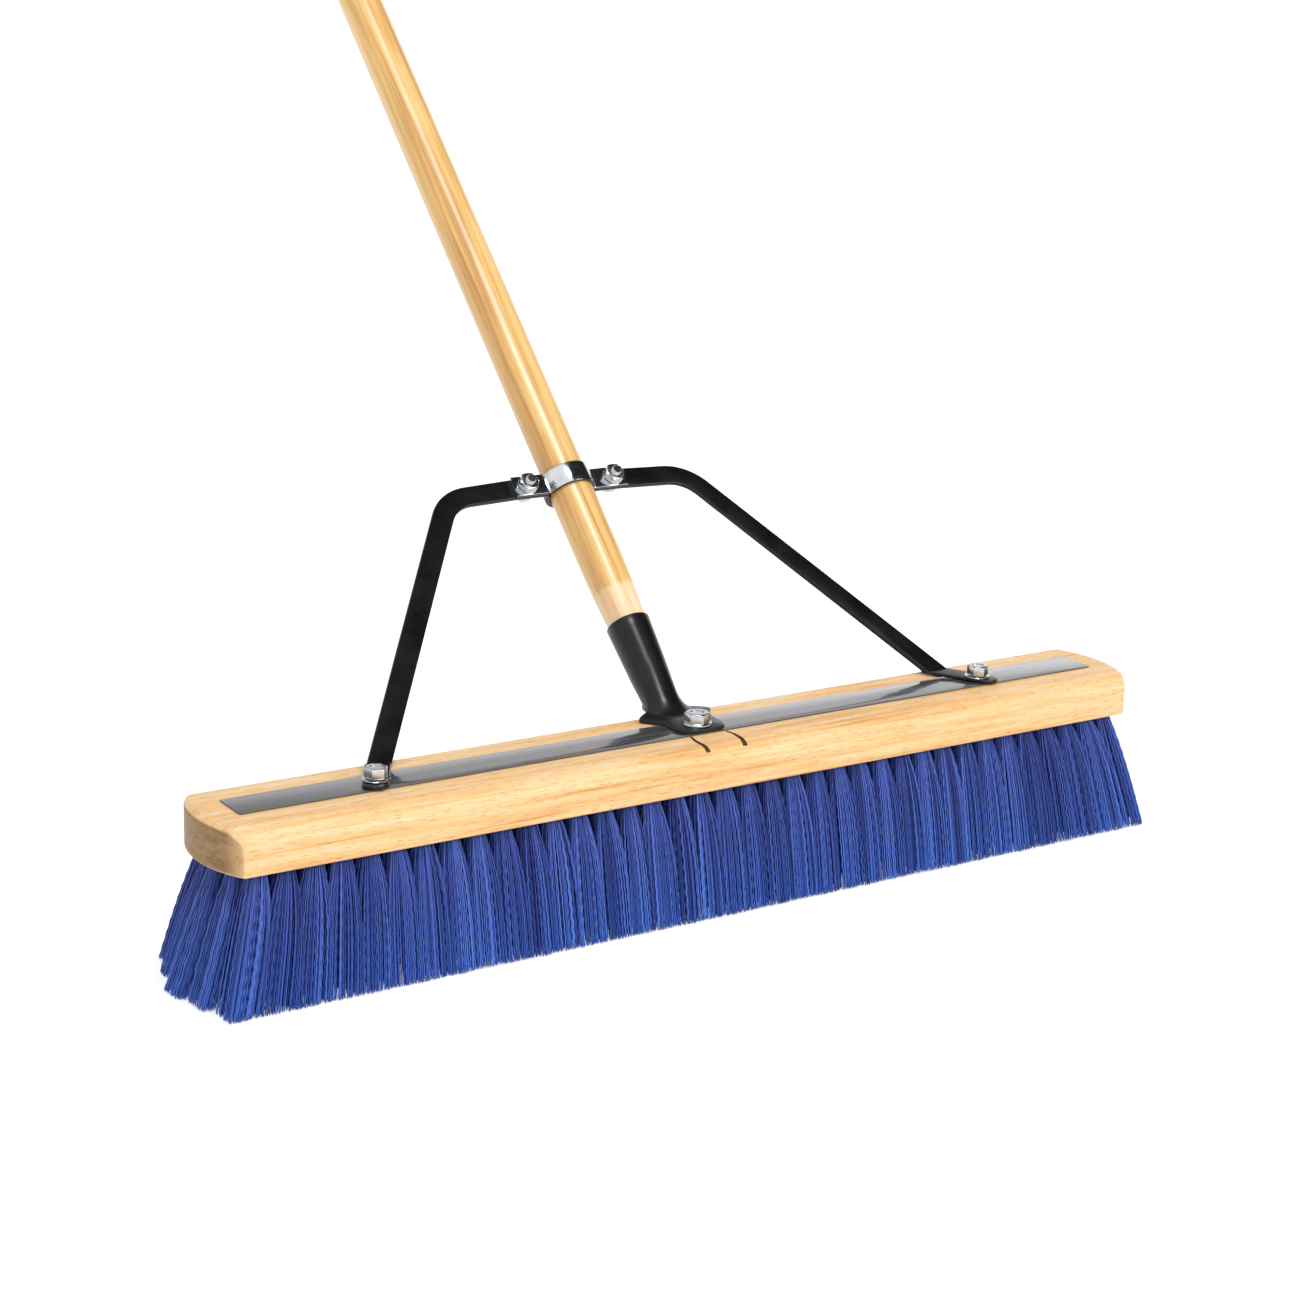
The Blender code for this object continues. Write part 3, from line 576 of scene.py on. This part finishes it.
def tuft(centre, place, count, steps, end_side, rng):
    """Centre lines of a tuft's filaments, (filament, step, xyz), and the shade of each."""
    index = np.arange(count)
    drop = np.linspace(0, 1, steps + 1)
    reach = ((index + 0.5) / count) ** 0.42
    angle = index * GOLDEN_ANGLE + rng.uniform(0, 2 * np.pi)
    disc = np.stack([reach * np.cos(angle), reach * np.sin(angle)], 1)
    disc = disc + rng.normal(0, 0.04, (count, 2))
    knots = rng.uniform(0, 2 * np.pi) + 2 * np.pi * np.arange(CLUMPS) / CLUMPS
    knots = knots + rng.normal(0, 0.12, CLUMPS)
    out = rng.uniform(0.55, 0.95, CLUMPS)
    knots = np.stack([out * np.cos(knots), out * np.sin(knots)], 1)
    nearest = np.argmin(((disc[:, None, :] - knots[None, :, :]) ** 2).sum(2), 1)
    root = disc * ROOT_SIZE
    gathered = disc + (knots[nearest] - disc) * 0.10
    square = 0.5 if end_side else 0.8
    squared = gathered * (np.hypot(*gathered.T) / np.abs(gathered).max(1))[:, None] ** square
    squared[:, 1] = np.sign(squared[:, 1]) * np.abs(squared[:, 1]) ** 0.65
    past = abs(centre / ROW_HALF_LENGTH)
    inner_width = TIP_WIDTH * (1 + 0.35 * past ** 4)
    width = np.where(gathered[:, 0] * end_side > 0, END_TIP_WIDTH, inner_width)
    tip = squared * np.stack([width, np.full(count, TIP_DEPTH)], 1)
    tip = tip + rng.normal(0, 0.0002, (count, 2))
    fan = 1 - (1 - drop) ** 3.2
    flat = root[:, None, :] + (tip - root)[:, None, :] * fan[None, :, None]
    flat[:, :, 0] += centre + drop[None, :] * rng.normal(0, 0.0003)
    flat[:, :, 1] += place * (ROW_PITCH_ROOT + (ROW_PITCH_TIP - ROW_PITCH_ROOT) * drop[None, :])
    lean = TIP_LEAN * past ** 5 * (0.08 * abs(place + 0.5) ** 1.5 - 1.1 if centre < 0 else 0.9)
    flat[:, :, 0] += lean * drop[None, :]
    turn = rng.uniform(0, 2 * np.pi, CLUMPS)[nearest, None] + rng.normal(0, 0.4, count)[:, None]
    size = rng.uniform(*CRIMP, count)[:, None] * np.minimum(1, drop * 5)[None, :]
    crimp = size * (-1.0) ** np.arange(steps + 1)[None, :]
    flat[:, :, 0] += crimp * np.cos(turn)
    flat[:, :, 1] += crimp * np.sin(turn)
    end = FLOOR_GAP + min(abs(rng.normal(0, 0.0003)), 0.0008) + rng.uniform(0, 0.0002, count)
    z = (TRIM - GAP) + (end[:, None] - (TRIM - GAP)) * drop[None, :]
    tone = 0.5 + rng.normal(0, 0.06) + rng.normal(0, 0.14, CLUMPS)[nearest]
    shades = np.clip(tone + rng.normal(0, 0.16, count), 0, 1)
    return np.concatenate([flat, z[:, :, None]], 2), shades


def row_of_tufts(number, rng):
    """The tufts of one row, from left to right."""
    place = number - (ROWS - 1) / 2
    outer = number in OUTER_ROWS
    half_length = ROW_HALF_LENGTH - ROW_END_SETBACK * abs(place) / 2
    made = []
    for i, centre in enumerate(np.linspace(-half_length, half_length, TUFTS_PER_ROW)):
        edge = min(i, TUFTS_PER_ROW - 1 - i)
        end_side = np.sign(centre) if edge == 0 else 0
        made.append(tuft(centre, place, FILAMENTS[outer or edge < 2], STEPS[outer], end_side, rng))
    return made


def filament_mesh(name, lines, shades, rng):
    """Prisms along the centre lines, closed at both ends."""
    count, stations = lines.shape[:2]
    side = np.arange(SIDES)
    angles = rng.uniform(0, 2 * np.pi, count)[:, None] + 2 * np.pi * side[None, :] / SIDES
    ring = np.stack([np.cos(angles), np.sin(angles), np.zeros_like(angles)], 2) * FIBRE_RADIUS
    points = lines[:, :, None, :] + ring[:, None, :, :]
    base = (np.arange(count) * stations * SIDES)[:, None, None]
    here = base + (np.arange(stations - 1) * SIDES)[None, :, None]
    following = (side + 1) % SIDES
    quads = np.stack([here + side, here + following, here + SIDES + following,
                      here + SIDES + side], 3).reshape(-1, 4)
    first = base[:, 0] + side[::-1][None, :]
    final = base[:, 0] + (stations - 1) * SIDES + side[None, :]
    row = from_lists(name, points.reshape(-1, 3).tolist(),
                     quads.tolist() + first.tolist() + final.tolist())
    row.data.flip_normals()
    shade = row.data.attributes.new("shade", "FLOAT", "POINT")
    shade.data.foreach_set("value", np.repeat(shades, stations * SIDES).astype(np.float32))
    return row


def build_bristles():
    rng = np.random.default_rng(20)
    for number in range(ROWS):
        tufts = row_of_tufts(number, rng)
        parts = 5 if number in OUTER_ROWS else 1
        for i in range(parts):
            chosen = tufts[i * TUFTS_PER_ROW // parts:(i + 1) * TUFTS_PER_ROW // parts]
            lines, shades = (np.concatenate(values) for values in zip(*chosen))
            row = filament_mesh(f"bristles_row_{number + 1}_{i + 1}", lines, shades, rng)
            piece(row, FIBRE, [f"tuft_row_{number + 1}"], sharp_degrees=180)


# ---- handle and socket -------------------------------------------------------
def socket_radius(height):
    """Outer radius of the socket's tube at a height along the handle."""
    share = (height - SOCKET_START) / (SOCKET_RIM - SOCKET_START)
    return SOCKET_RADIUS_LOW + share * (SOCKET_RADIUS_RIM - SOCKET_RADIUS_LOW)


def bore_radius(height):
    return socket_radius(height) - SOCKET_WALL


def build_handle():
    start = bore_radius(SOCKET_RIM) - GAP
    nose = HANDLE_START + HANDLE_NOSE
    profile = [(HANDLE_START, bore_radius(HANDLE_START) - GAP - HANDLE_NOSE),
               (nose, bore_radius(nose) - GAP), (SOCKET_RIM, start)]
    for i in range(1, 9):
        share = i / 8
        ease = math.sin(share * math.pi / 2)
        profile.append((SOCKET_RIM + (HANDLE_SHOULDER - SOCKET_RIM) * share,
                        start + (HANDLE_RADIUS - start) * ease))
    straight = HANDLE_END - HANDLE_RADIUS
    profile += [(HANDLE_SHOULDER + (straight - HANDLE_SHOULDER) * i / 24, HANDLE_RADIUS)
                for i in range(1, 24)]
    for i in range(13):
        angle = math.radians(90 * i / 12.5)
        profile.append((straight + HANDLE_RADIUS * math.sin(angle),
                        HANDLE_RADIUS * math.cos(angle)))
    handle = moved(turned("handle_wood", profile, 72), ALONG_HANDLE)
    piece(handle, LACQUER, ["handle"], sharp_degrees=40)


def tongue_outline():
    """Plan of the socket's foot: its right side from front to back, then its left side back."""
    right = []
    for i in range(9):
        angle = math.radians(-90 + 90 * i / 8)
        right.append((TONGUE_HALF_WIDTH - TONGUE_CORNER + TONGUE_CORNER * math.cos(angle),
                      TONGUE_FRONT_Y + TONGUE_CORNER + TONGUE_CORNER * math.sin(angle)))
    right += [(0.0157, 0.0040), (0.0166, 0.0085), (0.0188, 0.0140), (0.0222, 0.0188),
              (0.0244, 0.0207), (0.0243, 0.0222), (0.0208, 0.0256), (0.0165, 0.0285),
              (0.0100, 0.0335)]
    return right + [(-x, y) for x, y in reversed(right)]


def ray_reach(outline, centre, angle):
    """Distance from a centre to a closed outline in one direction."""
    dx, dy = math.cos(angle), math.sin(angle)
    best = 0.0
    for (x1, y1), (x2, y2) in zip(outline, outline[1:] + outline[:1]):
        ex, ey = x2 - x1, y2 - y1
        cross = dx * ey - dy * ex
        if abs(cross) < 1e-12:
            continue
        px, py = x1 - centre[0], y1 - centre[1]
        distance = (px * ey - py * ex) / cross
        share = (px * dy - py * dx) / cross
        if distance > 0 and -1e-9 <= share <= 1 + 1e-9:
            best = max(best, distance)
    return best


def socket_tube():
    """The socket's tube as (height, radius) pairs, from inside its lip down to the fillet."""
    lip, rim, steps = SOCKET_LIP, SOCKET_RIM, 6
    tube = [(rim, SOCKET_RADIUS_RIM - SOCKET_WALL + 0.0002), (rim, SOCKET_RADIUS_RIM - lip),
            (rim - lip * 0.3, SOCKET_RADIUS_RIM - lip * 0.3), (rim - lip, SOCKET_RADIUS_RIM)]
    for i in range(1, steps + 1):
        height = rim - lip - (rim - lip - SOCKET_TUBE_END) * i / steps
        tube.append((height, socket_radius(height)))
    return tube


def build_socket():
    """One skin from the rim down the tapered tube and through a fillet on to the tongue."""
    facets, fillet_steps = 96, 8
    plate_top = DECK + TONGUE_THICK
    tilt = math.acos(ALONG.z)
    centre_y = (HANDLE_FOOT + ALONG * ((plate_top - BLOCK_TOP) / ALONG.z)).y
    outline = tongue_outline()
    rings = [[ALONG_HANDLE @ p for p in circle(radius, height, facets)]
             for height, radius in socket_tube()]
    directions = []                     # (angle, reach of the tube, reach of the tongue's edge)
    for i in range(facets):
        a = 2 * math.pi * i / facets
        inner = 1 / math.hypot(math.cos(a) / SOCKET_RADIUS_LOW,
                               math.sin(a) * ALONG.z / SOCKET_RADIUS_LOW)
        directions.append((a, inner, max(ray_reach(outline, (0, centre_y), a), inner + 0.0004)))
    for i in range(fillet_steps + 1):
        turn = math.pi / 2 * i / fillet_steps
        ring = []
        for a, inner, outer in directions:
            width = min(SOCKET_FILLET_WIDTH, (outer - inner) * 0.62)
            rise = min(SOCKET_FILLET_RISE, width * 1.5 + 0.0006)
            distance = inner + width * (1 - math.cos(turn)) if i else inner
            height = plate_top + rise * (1 - math.sin(turn))
            foot = Vector((distance * math.cos(a), centre_y + distance * math.sin(a), height))
            foot += Vector((0, (height - plate_top) * math.tan(tilt), 0))
            ring.append(foot)
        rings.append(ring)
    edge = TONGUE_EDGE_ROUND
    for inset, drop in ((edge, 0), (edge * 0.3, edge * 0.3), (0, edge), (0, TONGUE_THICK)):
        ring = []
        for a, inner, outer in directions:
            distance = outer - min(inset, (outer - inner) * 0.3)
            ring.append(Vector((distance * math.cos(a), centre_y + distance * math.sin(a),
                                plate_top - drop)))
        rings.append(ring)
    socket = loft("socket_body", rings)
    floor, above = HANDLE_START - 2 * GAP, SOCKET_RIM + 0.01
    bore = turned("bore", [(floor, bore_radius(floor)), (above, bore_radius(above))], 72)
    combine(socket, [moved(bore, ALONG_HANDLE), screw_hole(*SCREW_PLACES[-1])], "DIFFERENCE")
    piece(socket, ENAMEL, ["handle_socket"], sharp_degrees=42)


# ---- brace and strap ---------------------------------------------------------
def ribbon(name, stations, half_width, half_thick, corner):
    """A flat bar with rounded edges through (point, width direction, thickness direction)."""
    section = rounded_rectangle(half_width, half_thick, corner, 3)
    return loft(name, [[p + w * a + t * b for a, b in section] for p, w, t in stations])


def brace_point(x, height):
    """A point in the brace's plane, from its foot on the block."""
    return BRACE_FOOT + SIDE * x + BRACE_UP * height


def bend_stations(side):
    """Stations along one upper bar, around its bend and down its leg."""
    bend = Vector((BRACE_BEND_X, BRACE_HEIGHT - BRACE_BEND_DROP))
    incoming = (bend - Vector((CLAMP_BOLT_X, BRACE_HEIGHT))).normalized()
    outgoing = (Vector((BRACE_FOOT_X, 0)) - bend).normalized()
    turn = incoming.angle(outgoing)
    start = bend - incoming * BRACE_BEND_RADIUS * math.tan(turn / 2)
    centre = start + Vector((incoming.y, -incoming.x)) * BRACE_BEND_RADIUS
    first = math.atan2(start.y - centre.y, start.x - centre.x)
    made = []
    steps = 14
    for i in range(steps + 1):
        angle = first - turn * i / steps
        out = Vector((math.cos(angle), math.sin(angle)))
        point = centre + out * BRACE_BEND_RADIUS
        made.append((brace_point(side * point.x, point.y),
                     SIDE * side * out.x + BRACE_UP * out.y, BRACE_FACING))
    down = SIDE * side * outgoing.x + BRACE_UP * outgoing.y
    point, across, facing = made[-1]
    end = point + down * ((DECK + TAB_THICK / 2 - point.z) / down.z)
    made.append((end, across - down * (across.z / down.z), facing - down * (facing.z / down.z)))
    return made


def around_handle(x, depth):
    """A point at the clamp's height, at a depth in front of the handle's axis."""
    return CLAMP_CENTRE + SIDE * x + FACING * depth


def saddle_path(wrap_radius, front, ear_end, steps):
    """Half of a strip's path around the handle: (x, depth, normal x, normal depth)."""
    corner = SADDLE_CORNER
    lift = math.asin(corner / wrap_radius)
    path = []
    for i in range(steps + 1):
        angle = math.pi / 2 - (math.pi / 2 - lift) * i / steps
        path.append((wrap_radius * math.cos(angle), front * wrap_radius * math.sin(angle),
                     math.cos(angle), front * math.sin(angle)))
    knee_x = path[-1][0] + corner
    for i in range(1, 6):
        angle = math.radians(SADDLE_CORNER_FROM + (90 - SADDLE_CORNER_FROM) * i / 5)
        path.append((knee_x - corner * math.cos(angle), front * corner * (1 - math.sin(angle)),
                     math.cos(angle), front * math.sin(angle)))
    path.append((ear_end, 0.0, 0.0, float(front)))
    return path


def mirrored(stations):
    """The same stations on the other side of the handle."""
    flip = Vector((-1, 1, 1))
    return [(p * flip, w * flip, t * flip) for p, w, t in stations]


def clamp_frame(side):
    """Placement of a clamp bolt: X sideways, Z to the front."""
    return frame_at(around_handle(side * CLAMP_BOLT_X, 0), SIDE, ALONG, FACING)


def clamp_hole(side):
    hole = turned("hole", [(-0.02, HOLE_RADIUS), (0.02, HOLE_RADIUS)], 24)
    return moved(hole, clamp_frame(side))


def tab(side):
    """The foot of a leg: the bar's end folded flat along X, with a round tip past its screw."""
    screw = Vector((TAB_CENTRE.x, TAB_CENTRE.y))
    along = (screw - Vector((BRACE_FOOT_X, BRACE_FOOT_Y))).normalized()
    centre = screw + along * (TAB_TIP - TAB_WIDTH / 2)
    steps, rear = 24, BRACE_FOOT_Y + TAB_REAR
    first = math.atan2(along.y, along.x) - math.pi / 2
    angles = [first + math.pi * i / steps for i in range(steps + 1)]
    tip = [centre + Vector((math.cos(a), math.sin(a))) * TAB_WIDTH / 2 for a in angles]
    ends = [(x + along.x / along.y * (rear - y), rear) for x, y in (tip[0], tip[-1])]
    outline = [ends[0]] + tip + [ends[1]]
    rings = [[(side * x, y, z) for x, y in outline] for z in (DECK, DECK + TAB_THICK)]
    return bevelled(loft("tab", rings), TAB_EDGE, 3, 40)


def build_brace():
    wrap = HANDLE_RADIUS + GAP + BAR_THICK / 2
    half = []
    for x, depth, nx, nd in saddle_path(wrap, -1, CLAMP_BOLT_X + 0.006, 14):
        half.append((around_handle(x, depth), ALONG, (SIDE * nx + FACING * nd) * -1))
    stations = list(reversed(bend_stations(-1))) + list(reversed(mirrored(half)))[:-1]
    stations += half + bend_stations(1)
    brace = ribbon("brace_bar", stations, BAR_WIDTH / 2, BAR_THICK / 2, BAR_EDGE)
    combine(brace, [tab(-1), tab(1)], "UNION")
    holes = [clamp_hole(side) for side in (-1, 1)]
    for side in (-1, 1):
        hole = turned("hole", [(DECK - 0.01, HOLE_RADIUS), (DECK + 0.01, HOLE_RADIUS)], 24)
        holes.append(moved(hole, Matrix.Translation((side * TAB_CENTRE.x, TAB_CENTRE.y, 0))))
    combine(brace, holes, "DIFFERENCE")
    piece(brace, ENAMEL, ["brace"])


def build_strap():
    ear_depth = BAR_THICK / 2 + GAP + STRAP_THICK / 2
    wrap = HANDLE_RADIUS + GAP + STRAP_THICK / 2
    half = []
    for x, depth, nx, nd in saddle_path(wrap, 1, CLAMP_EAR_END, 14):
        half.append((around_handle(x, max(depth, ear_depth)), ALONG, SIDE * nx + FACING * nd))
    stations = list(reversed(mirrored(half)))[:-1] + half
    strap = ribbon("clamp_strap_plate", stations, STRAP_WIDTH / 2, STRAP_THICK / 2, STRAP_EDGE)
    combine(strap, [clamp_hole(-1), clamp_hole(1)], "DIFFERENCE")
    piece(strap, SADDLE, ["clamp_strap"])


# ---- fasteners ---------------------------------------------------------------
def hex_body(name, across, low, high, bottom_chamfer):
    """A hexagonal head or nut, its corners turned off to a cone."""
    outer = across / math.sqrt(3)
    prism = loft(name, [circle(outer, z, 6) for z in (low, high)])
    drop, face = (outer - across / 2) * HEX_CHAMFER, across / 2 * HEX_FACE
    profile = [(low, outer + 0.001), (high - drop * 1.15, outer + 0.0001), (high, face)]
    if bottom_chamfer:
        profile[0:1] = [(low, face), (low + drop * 1.15, outer + 0.0001)]
    return bevelled(combine(prism, [turned("cone", profile, 60)], "INTERSECT"), HEX_EASE, 2, 25)


def threaded(name, stations, pitch):
    """A shank around Z with a helical thread; stations are (height, radius, depth of thread)."""
    facets = 24
    (low, _, _), (high, _, _) = stations[0], stations[-1]
    steps = max(8, int((high - low) / pitch * 6))
    heights = [low + (high - low) * i / steps for i in range(steps + 1)]
    known = [s[0] for s in stations]
    radii = np.interp(heights, known, [s[1] for s in stations])
    depths = np.interp(heights, known, [s[2] for s in stations])
    rings = []
    for z, radius, depth in zip(heights, radii, depths):
        ring = []
        for i in range(facets):
            turn = (z / pitch - i / facets) % 1
            r = radius - depth * abs(2 * turn - 1)
            angle = 2 * math.pi * i / facets
            ring.append(Vector((r * math.cos(angle), r * math.sin(angle), z)))
        rings.append(ring)
    return loft(name, rings)


def wood_screw(name, node, place, seat, across, head, flange):
    """A hex-headed wood screw with a coarse thread; flange is its flange's radius, or 0."""
    end = BLOCK_TOP - SCREW_DEPTH
    top = seat + (FLANGE_THICK if flange else 0.0) + head
    body = hex_body(name, across, seat + (0.0006 if flange else 0.0002), top, False)
    radius, thread = SCREW_RADIUS, SCREW_THREAD
    parts = [threaded("shank", [(end, SCREW_POINT, 0), (end + 0.005, radius, thread),
                                (seat - 0.003, radius, thread), (seat - 0.002, radius, 0),
                                (seat + 0.0012, radius, 0)], SCREW_PITCH),
             turned("collar", [(seat, across / 2 * 0.86), (seat + 0.0006, across / 2 * 0.94)], 40)]
    if flange:
        parts.append(turned("flange", [(seat, flange - 0.0002), (seat + 0.0002, flange),
                                       (seat + 0.0007, flange * 0.985),
                                       (seat + FLANGE_THICK, flange * 0.84)], 48))
    combine(body, parts, "UNION")
    dish = [(top - 0.0005, across / 2 * 0.62), (top + 0.002, across / 2 * 0.74)]
    combine(body, [turned("dish", dish, 36)], "DIFFERENCE")
    piece(moved(body, place), ZINC, [node])


def build_washer(name, node, x, y, seat):
    """A flat washer with eased edges."""
    ease, high = WASHER_EASE, seat + WASHER_THICK
    hole, rim = HOLE_RADIUS, WASHER_RADIUS
    section = [(seat, hole), (seat, rim - ease), (seat + ease, rim), (high - ease, rim),
               (high, rim - ease), (high, hole + ease), (high - ease, hole)]
    washer = loft(name, [circle(r, z, 56) for z, r in section], looped=True)
    piece(moved(washer, Matrix.Translation((x, y, 0))), ZINC, [node])


def build_clamp_fastener(label, side):
    """The bolt with its head behind the bar, and the nut in front of the strap."""
    place = clamp_frame(side)
    back = -BAR_THICK / 2 - GAP
    front = BAR_THICK / 2 + GAP + STRAP_THICK + GAP
    head = moved(hex_body(f"bolt_{label}", HEX_ACROSS, 0, BOLT_HEAD, False),
                 Matrix.Translation((0, 0, back)) @ Matrix.Rotation(math.pi, 4, "X"))
    end = front + NUT_HEIGHT + BOLT_END
    radius, thread = SCREW_RADIUS, BOLT_THREAD
    shank = threaded("shank", [(back - 0.001, radius, 0), (front - 0.0005, radius, 0),
                               (front, radius, thread), (end - 0.0006, radius, thread),
                               (end, radius - 0.0007, 0)], BOLT_PITCH)
    combine(head, [shank], "UNION")
    piece(moved(head, place), ZINC, [f"clamp_bolt_{label}"])
    nut = hex_body(f"nut_{label}", HEX_ACROSS, front, front + NUT_HEIGHT, True)
    bore = turned("bore", [(front - 0.01, HOLE_RADIUS), (front + 0.02, HOLE_RADIUS)], 32)
    combine(nut, [bore], "DIFFERENCE")
    piece(moved(nut, place), ZINC, [f"clamp_nut_{label}"])


def screw_place(label, x, y):
    """Where a wood screw stands, and how far it is turned."""
    return Matrix.Translation((x, y, 0)) @ Matrix.Rotation(math.radians(SCREW_TURNS[label]), 4, "Z")


def build_fasteners():
    wood_screw("screw_socket", "socket_screw", screw_place("socket", 0, SOCKET_SCREW_Y),
               DECK + TONGUE_THICK + GAP, SOCKET_SCREW_ACROSS, SOCKET_SCREW_HEAD, FLANGE_RADIUS)
    seat = DECK + TAB_THICK + GAP
    for label, side in (("left", -1), ("right", 1)):
        x, y = side * TAB_CENTRE.x, TAB_CENTRE.y
        build_washer(f"washer_{label}", f"foot_washer_{label}", x, y, seat)
        wood_screw(f"screw_{label}", f"foot_screw_{label}", screw_place(label, x, y),
                   seat + WASHER_THICK + GAP, HEX_ACROSS, FOOT_SCREW_HEAD, 0.0)
        build_clamp_fastener(label, side)


# ---- floor, light and camera -------------------------------------------------
CAMERA_AT = Vector((-0.82132, -1.17927, 0.55476))
CAMERA_AZIMUTH, CAMERA_ELEVATION, CAMERA_ROLL = (math.radians(a) for a in (-33.77, 16.11, 1.88))
CAMERA_LENS = 74.064
FLOOR_HALF, FLOOR_Z = 30, -0.0002


def build_floor():
    corners = ((-1, -1), (1, -1), (1, 1), (-1, 1))
    floor = from_lists("floor", [(x * FLOOR_HALF, y * FLOOR_HALF, FLOOR_Z) for x, y in corners],
                       [(0, 1, 2, 3)])
    s = Shader("floor", {"Roughness": 0.85, "Specular IOR Level": 0.2, "Emission Strength": 0.30})
    cloud = s.noise(s.place((1, 1, 1)), scale=3.0, detail=2.0)
    s.set("Base Color", s.ramp(cloud, [(0.3, (0.86, 0.86, 0.86)), (0.7, (0.88, 0.88, 0.88))]))
    s.set("Emission Color", (1.0, 1.0, 1.0, 1.0))
    floor.data.materials.append(s.material)


def sun(name, towards, strength, spread):
    """A wide soft light from a direction."""
    lamp = bpy.data.lights.new(name, "SUN")
    lamp.energy, lamp.angle = strength, math.radians(spread)
    obj = bpy.data.objects.new(name, lamp)
    obj.location = Vector(towards).normalized() * 4
    obj.rotation_euler = Vector(towards).to_track_quat("Z", "Y").to_euler()
    bpy.context.scene.collection.objects.link(obj)


SKY_FILL, SKY_GLOSS = 0.55, 0.95        # the surroundings as light, and as seen in reflections
DARK_TOWARDS, DARK_RADII, DARK_GLOSS = (0.60, -0.10, 0.79), (42, 50), 0.02      # radii in degrees
BACK_Y = (0.40, 0.65)                   # where the part of the sky behind the broom begins
BACK_X, BACK_GLOSS = (0.389, 0.658), (0.71, 1.22)       # its reflections brighten towards +X


def build_studio():
    """White surroundings with one dark area up to the right, which the polished metal reflects."""
    scene = bpy.context.scene
    world = scene.world or bpy.data.worlds.new("studio")
    scene.world = world
    world.use_nodes = True
    s = Nodes(world.node_tree)
    towards = s.node("TexCoord", {}).outputs["Generated"]
    facing = s.node("VectorMath", {0: towards, 1: tuple(Vector(DARK_TOWARDS).normalized())},
                    operation="DOT_PRODUCT").outputs["Value"]
    edges = [math.cos(math.radians(a)) for a in DARK_RADII]
    seen = s.node("MapRange", {"Value": facing, "From Min": edges[1], "From Max": edges[0],
                               "To Min": SKY_GLOSS, "To Max": DARK_GLOSS},
                  interpolation_type="SMOOTHSTEP").outputs[0]
    x, y, _ = s.node("SeparateXYZ", {0: towards}).outputs
    level = s.fit(x, *BACK_X, *BACK_GLOSS)
    behind = s.fit(y, *BACK_Y, 0.0, 1.0)
    seen = s.node("Mix", {0: behind, 2: seen, 3: level}).outputs[0]
    path = s.node("LightPath", {})
    glossy = s.node("Mix", {0: path.outputs["Is Glossy Ray"], 2: SKY_FILL, 3: seen}).outputs[0]
    strength = s.node("Mix", {0: path.outputs["Is Camera Ray"], 2: glossy, 3: 1.0}).outputs[0]
    background = s.tree.nodes["Background"]
    s.put(background, "Color", (1.0, 1.0, 1.0, 1.0))
    s.put(background, "Strength", strength)
    sun("overhead", (-0.17, -0.31, 0.93), 1.3, 14)
    sun("front", (1.1, -2.3, 1.6), 1.4, 35)
    scene.view_settings.view_transform = "Standard"


def build_camera():
    azimuth, elevation, roll = CAMERA_AZIMUTH, CAMERA_ELEVATION, CAMERA_ROLL
    back = Vector((math.sin(azimuth) * math.cos(elevation),
                   -math.cos(azimuth) * math.cos(elevation), math.sin(elevation)))
    right = Vector((0, 0, 1)).cross(back).normalized()
    up = back.cross(right)
    turned_right = math.cos(roll) * right + math.sin(roll) * up
    turned_up = math.cos(roll) * up - math.sin(roll) * right
    data = bpy.data.cameras.new("camera")
    data.lens, data.sensor_width, data.clip_start, data.clip_end = CAMERA_LENS, 36.0, 0.05, 200.0
    camera = bpy.data.objects.new("camera", data)
    camera.matrix_world = frame_at(CAMERA_AT, turned_right, turned_up, back)
    bpy.context.scene.collection.objects.link(camera)
    bpy.context.scene.camera = camera


build_block()
build_strip()
build_bristles()
build_handle()
build_socket()
build_brace()
build_strap()
build_fasteners()
build_floor()
build_studio()
build_camera()
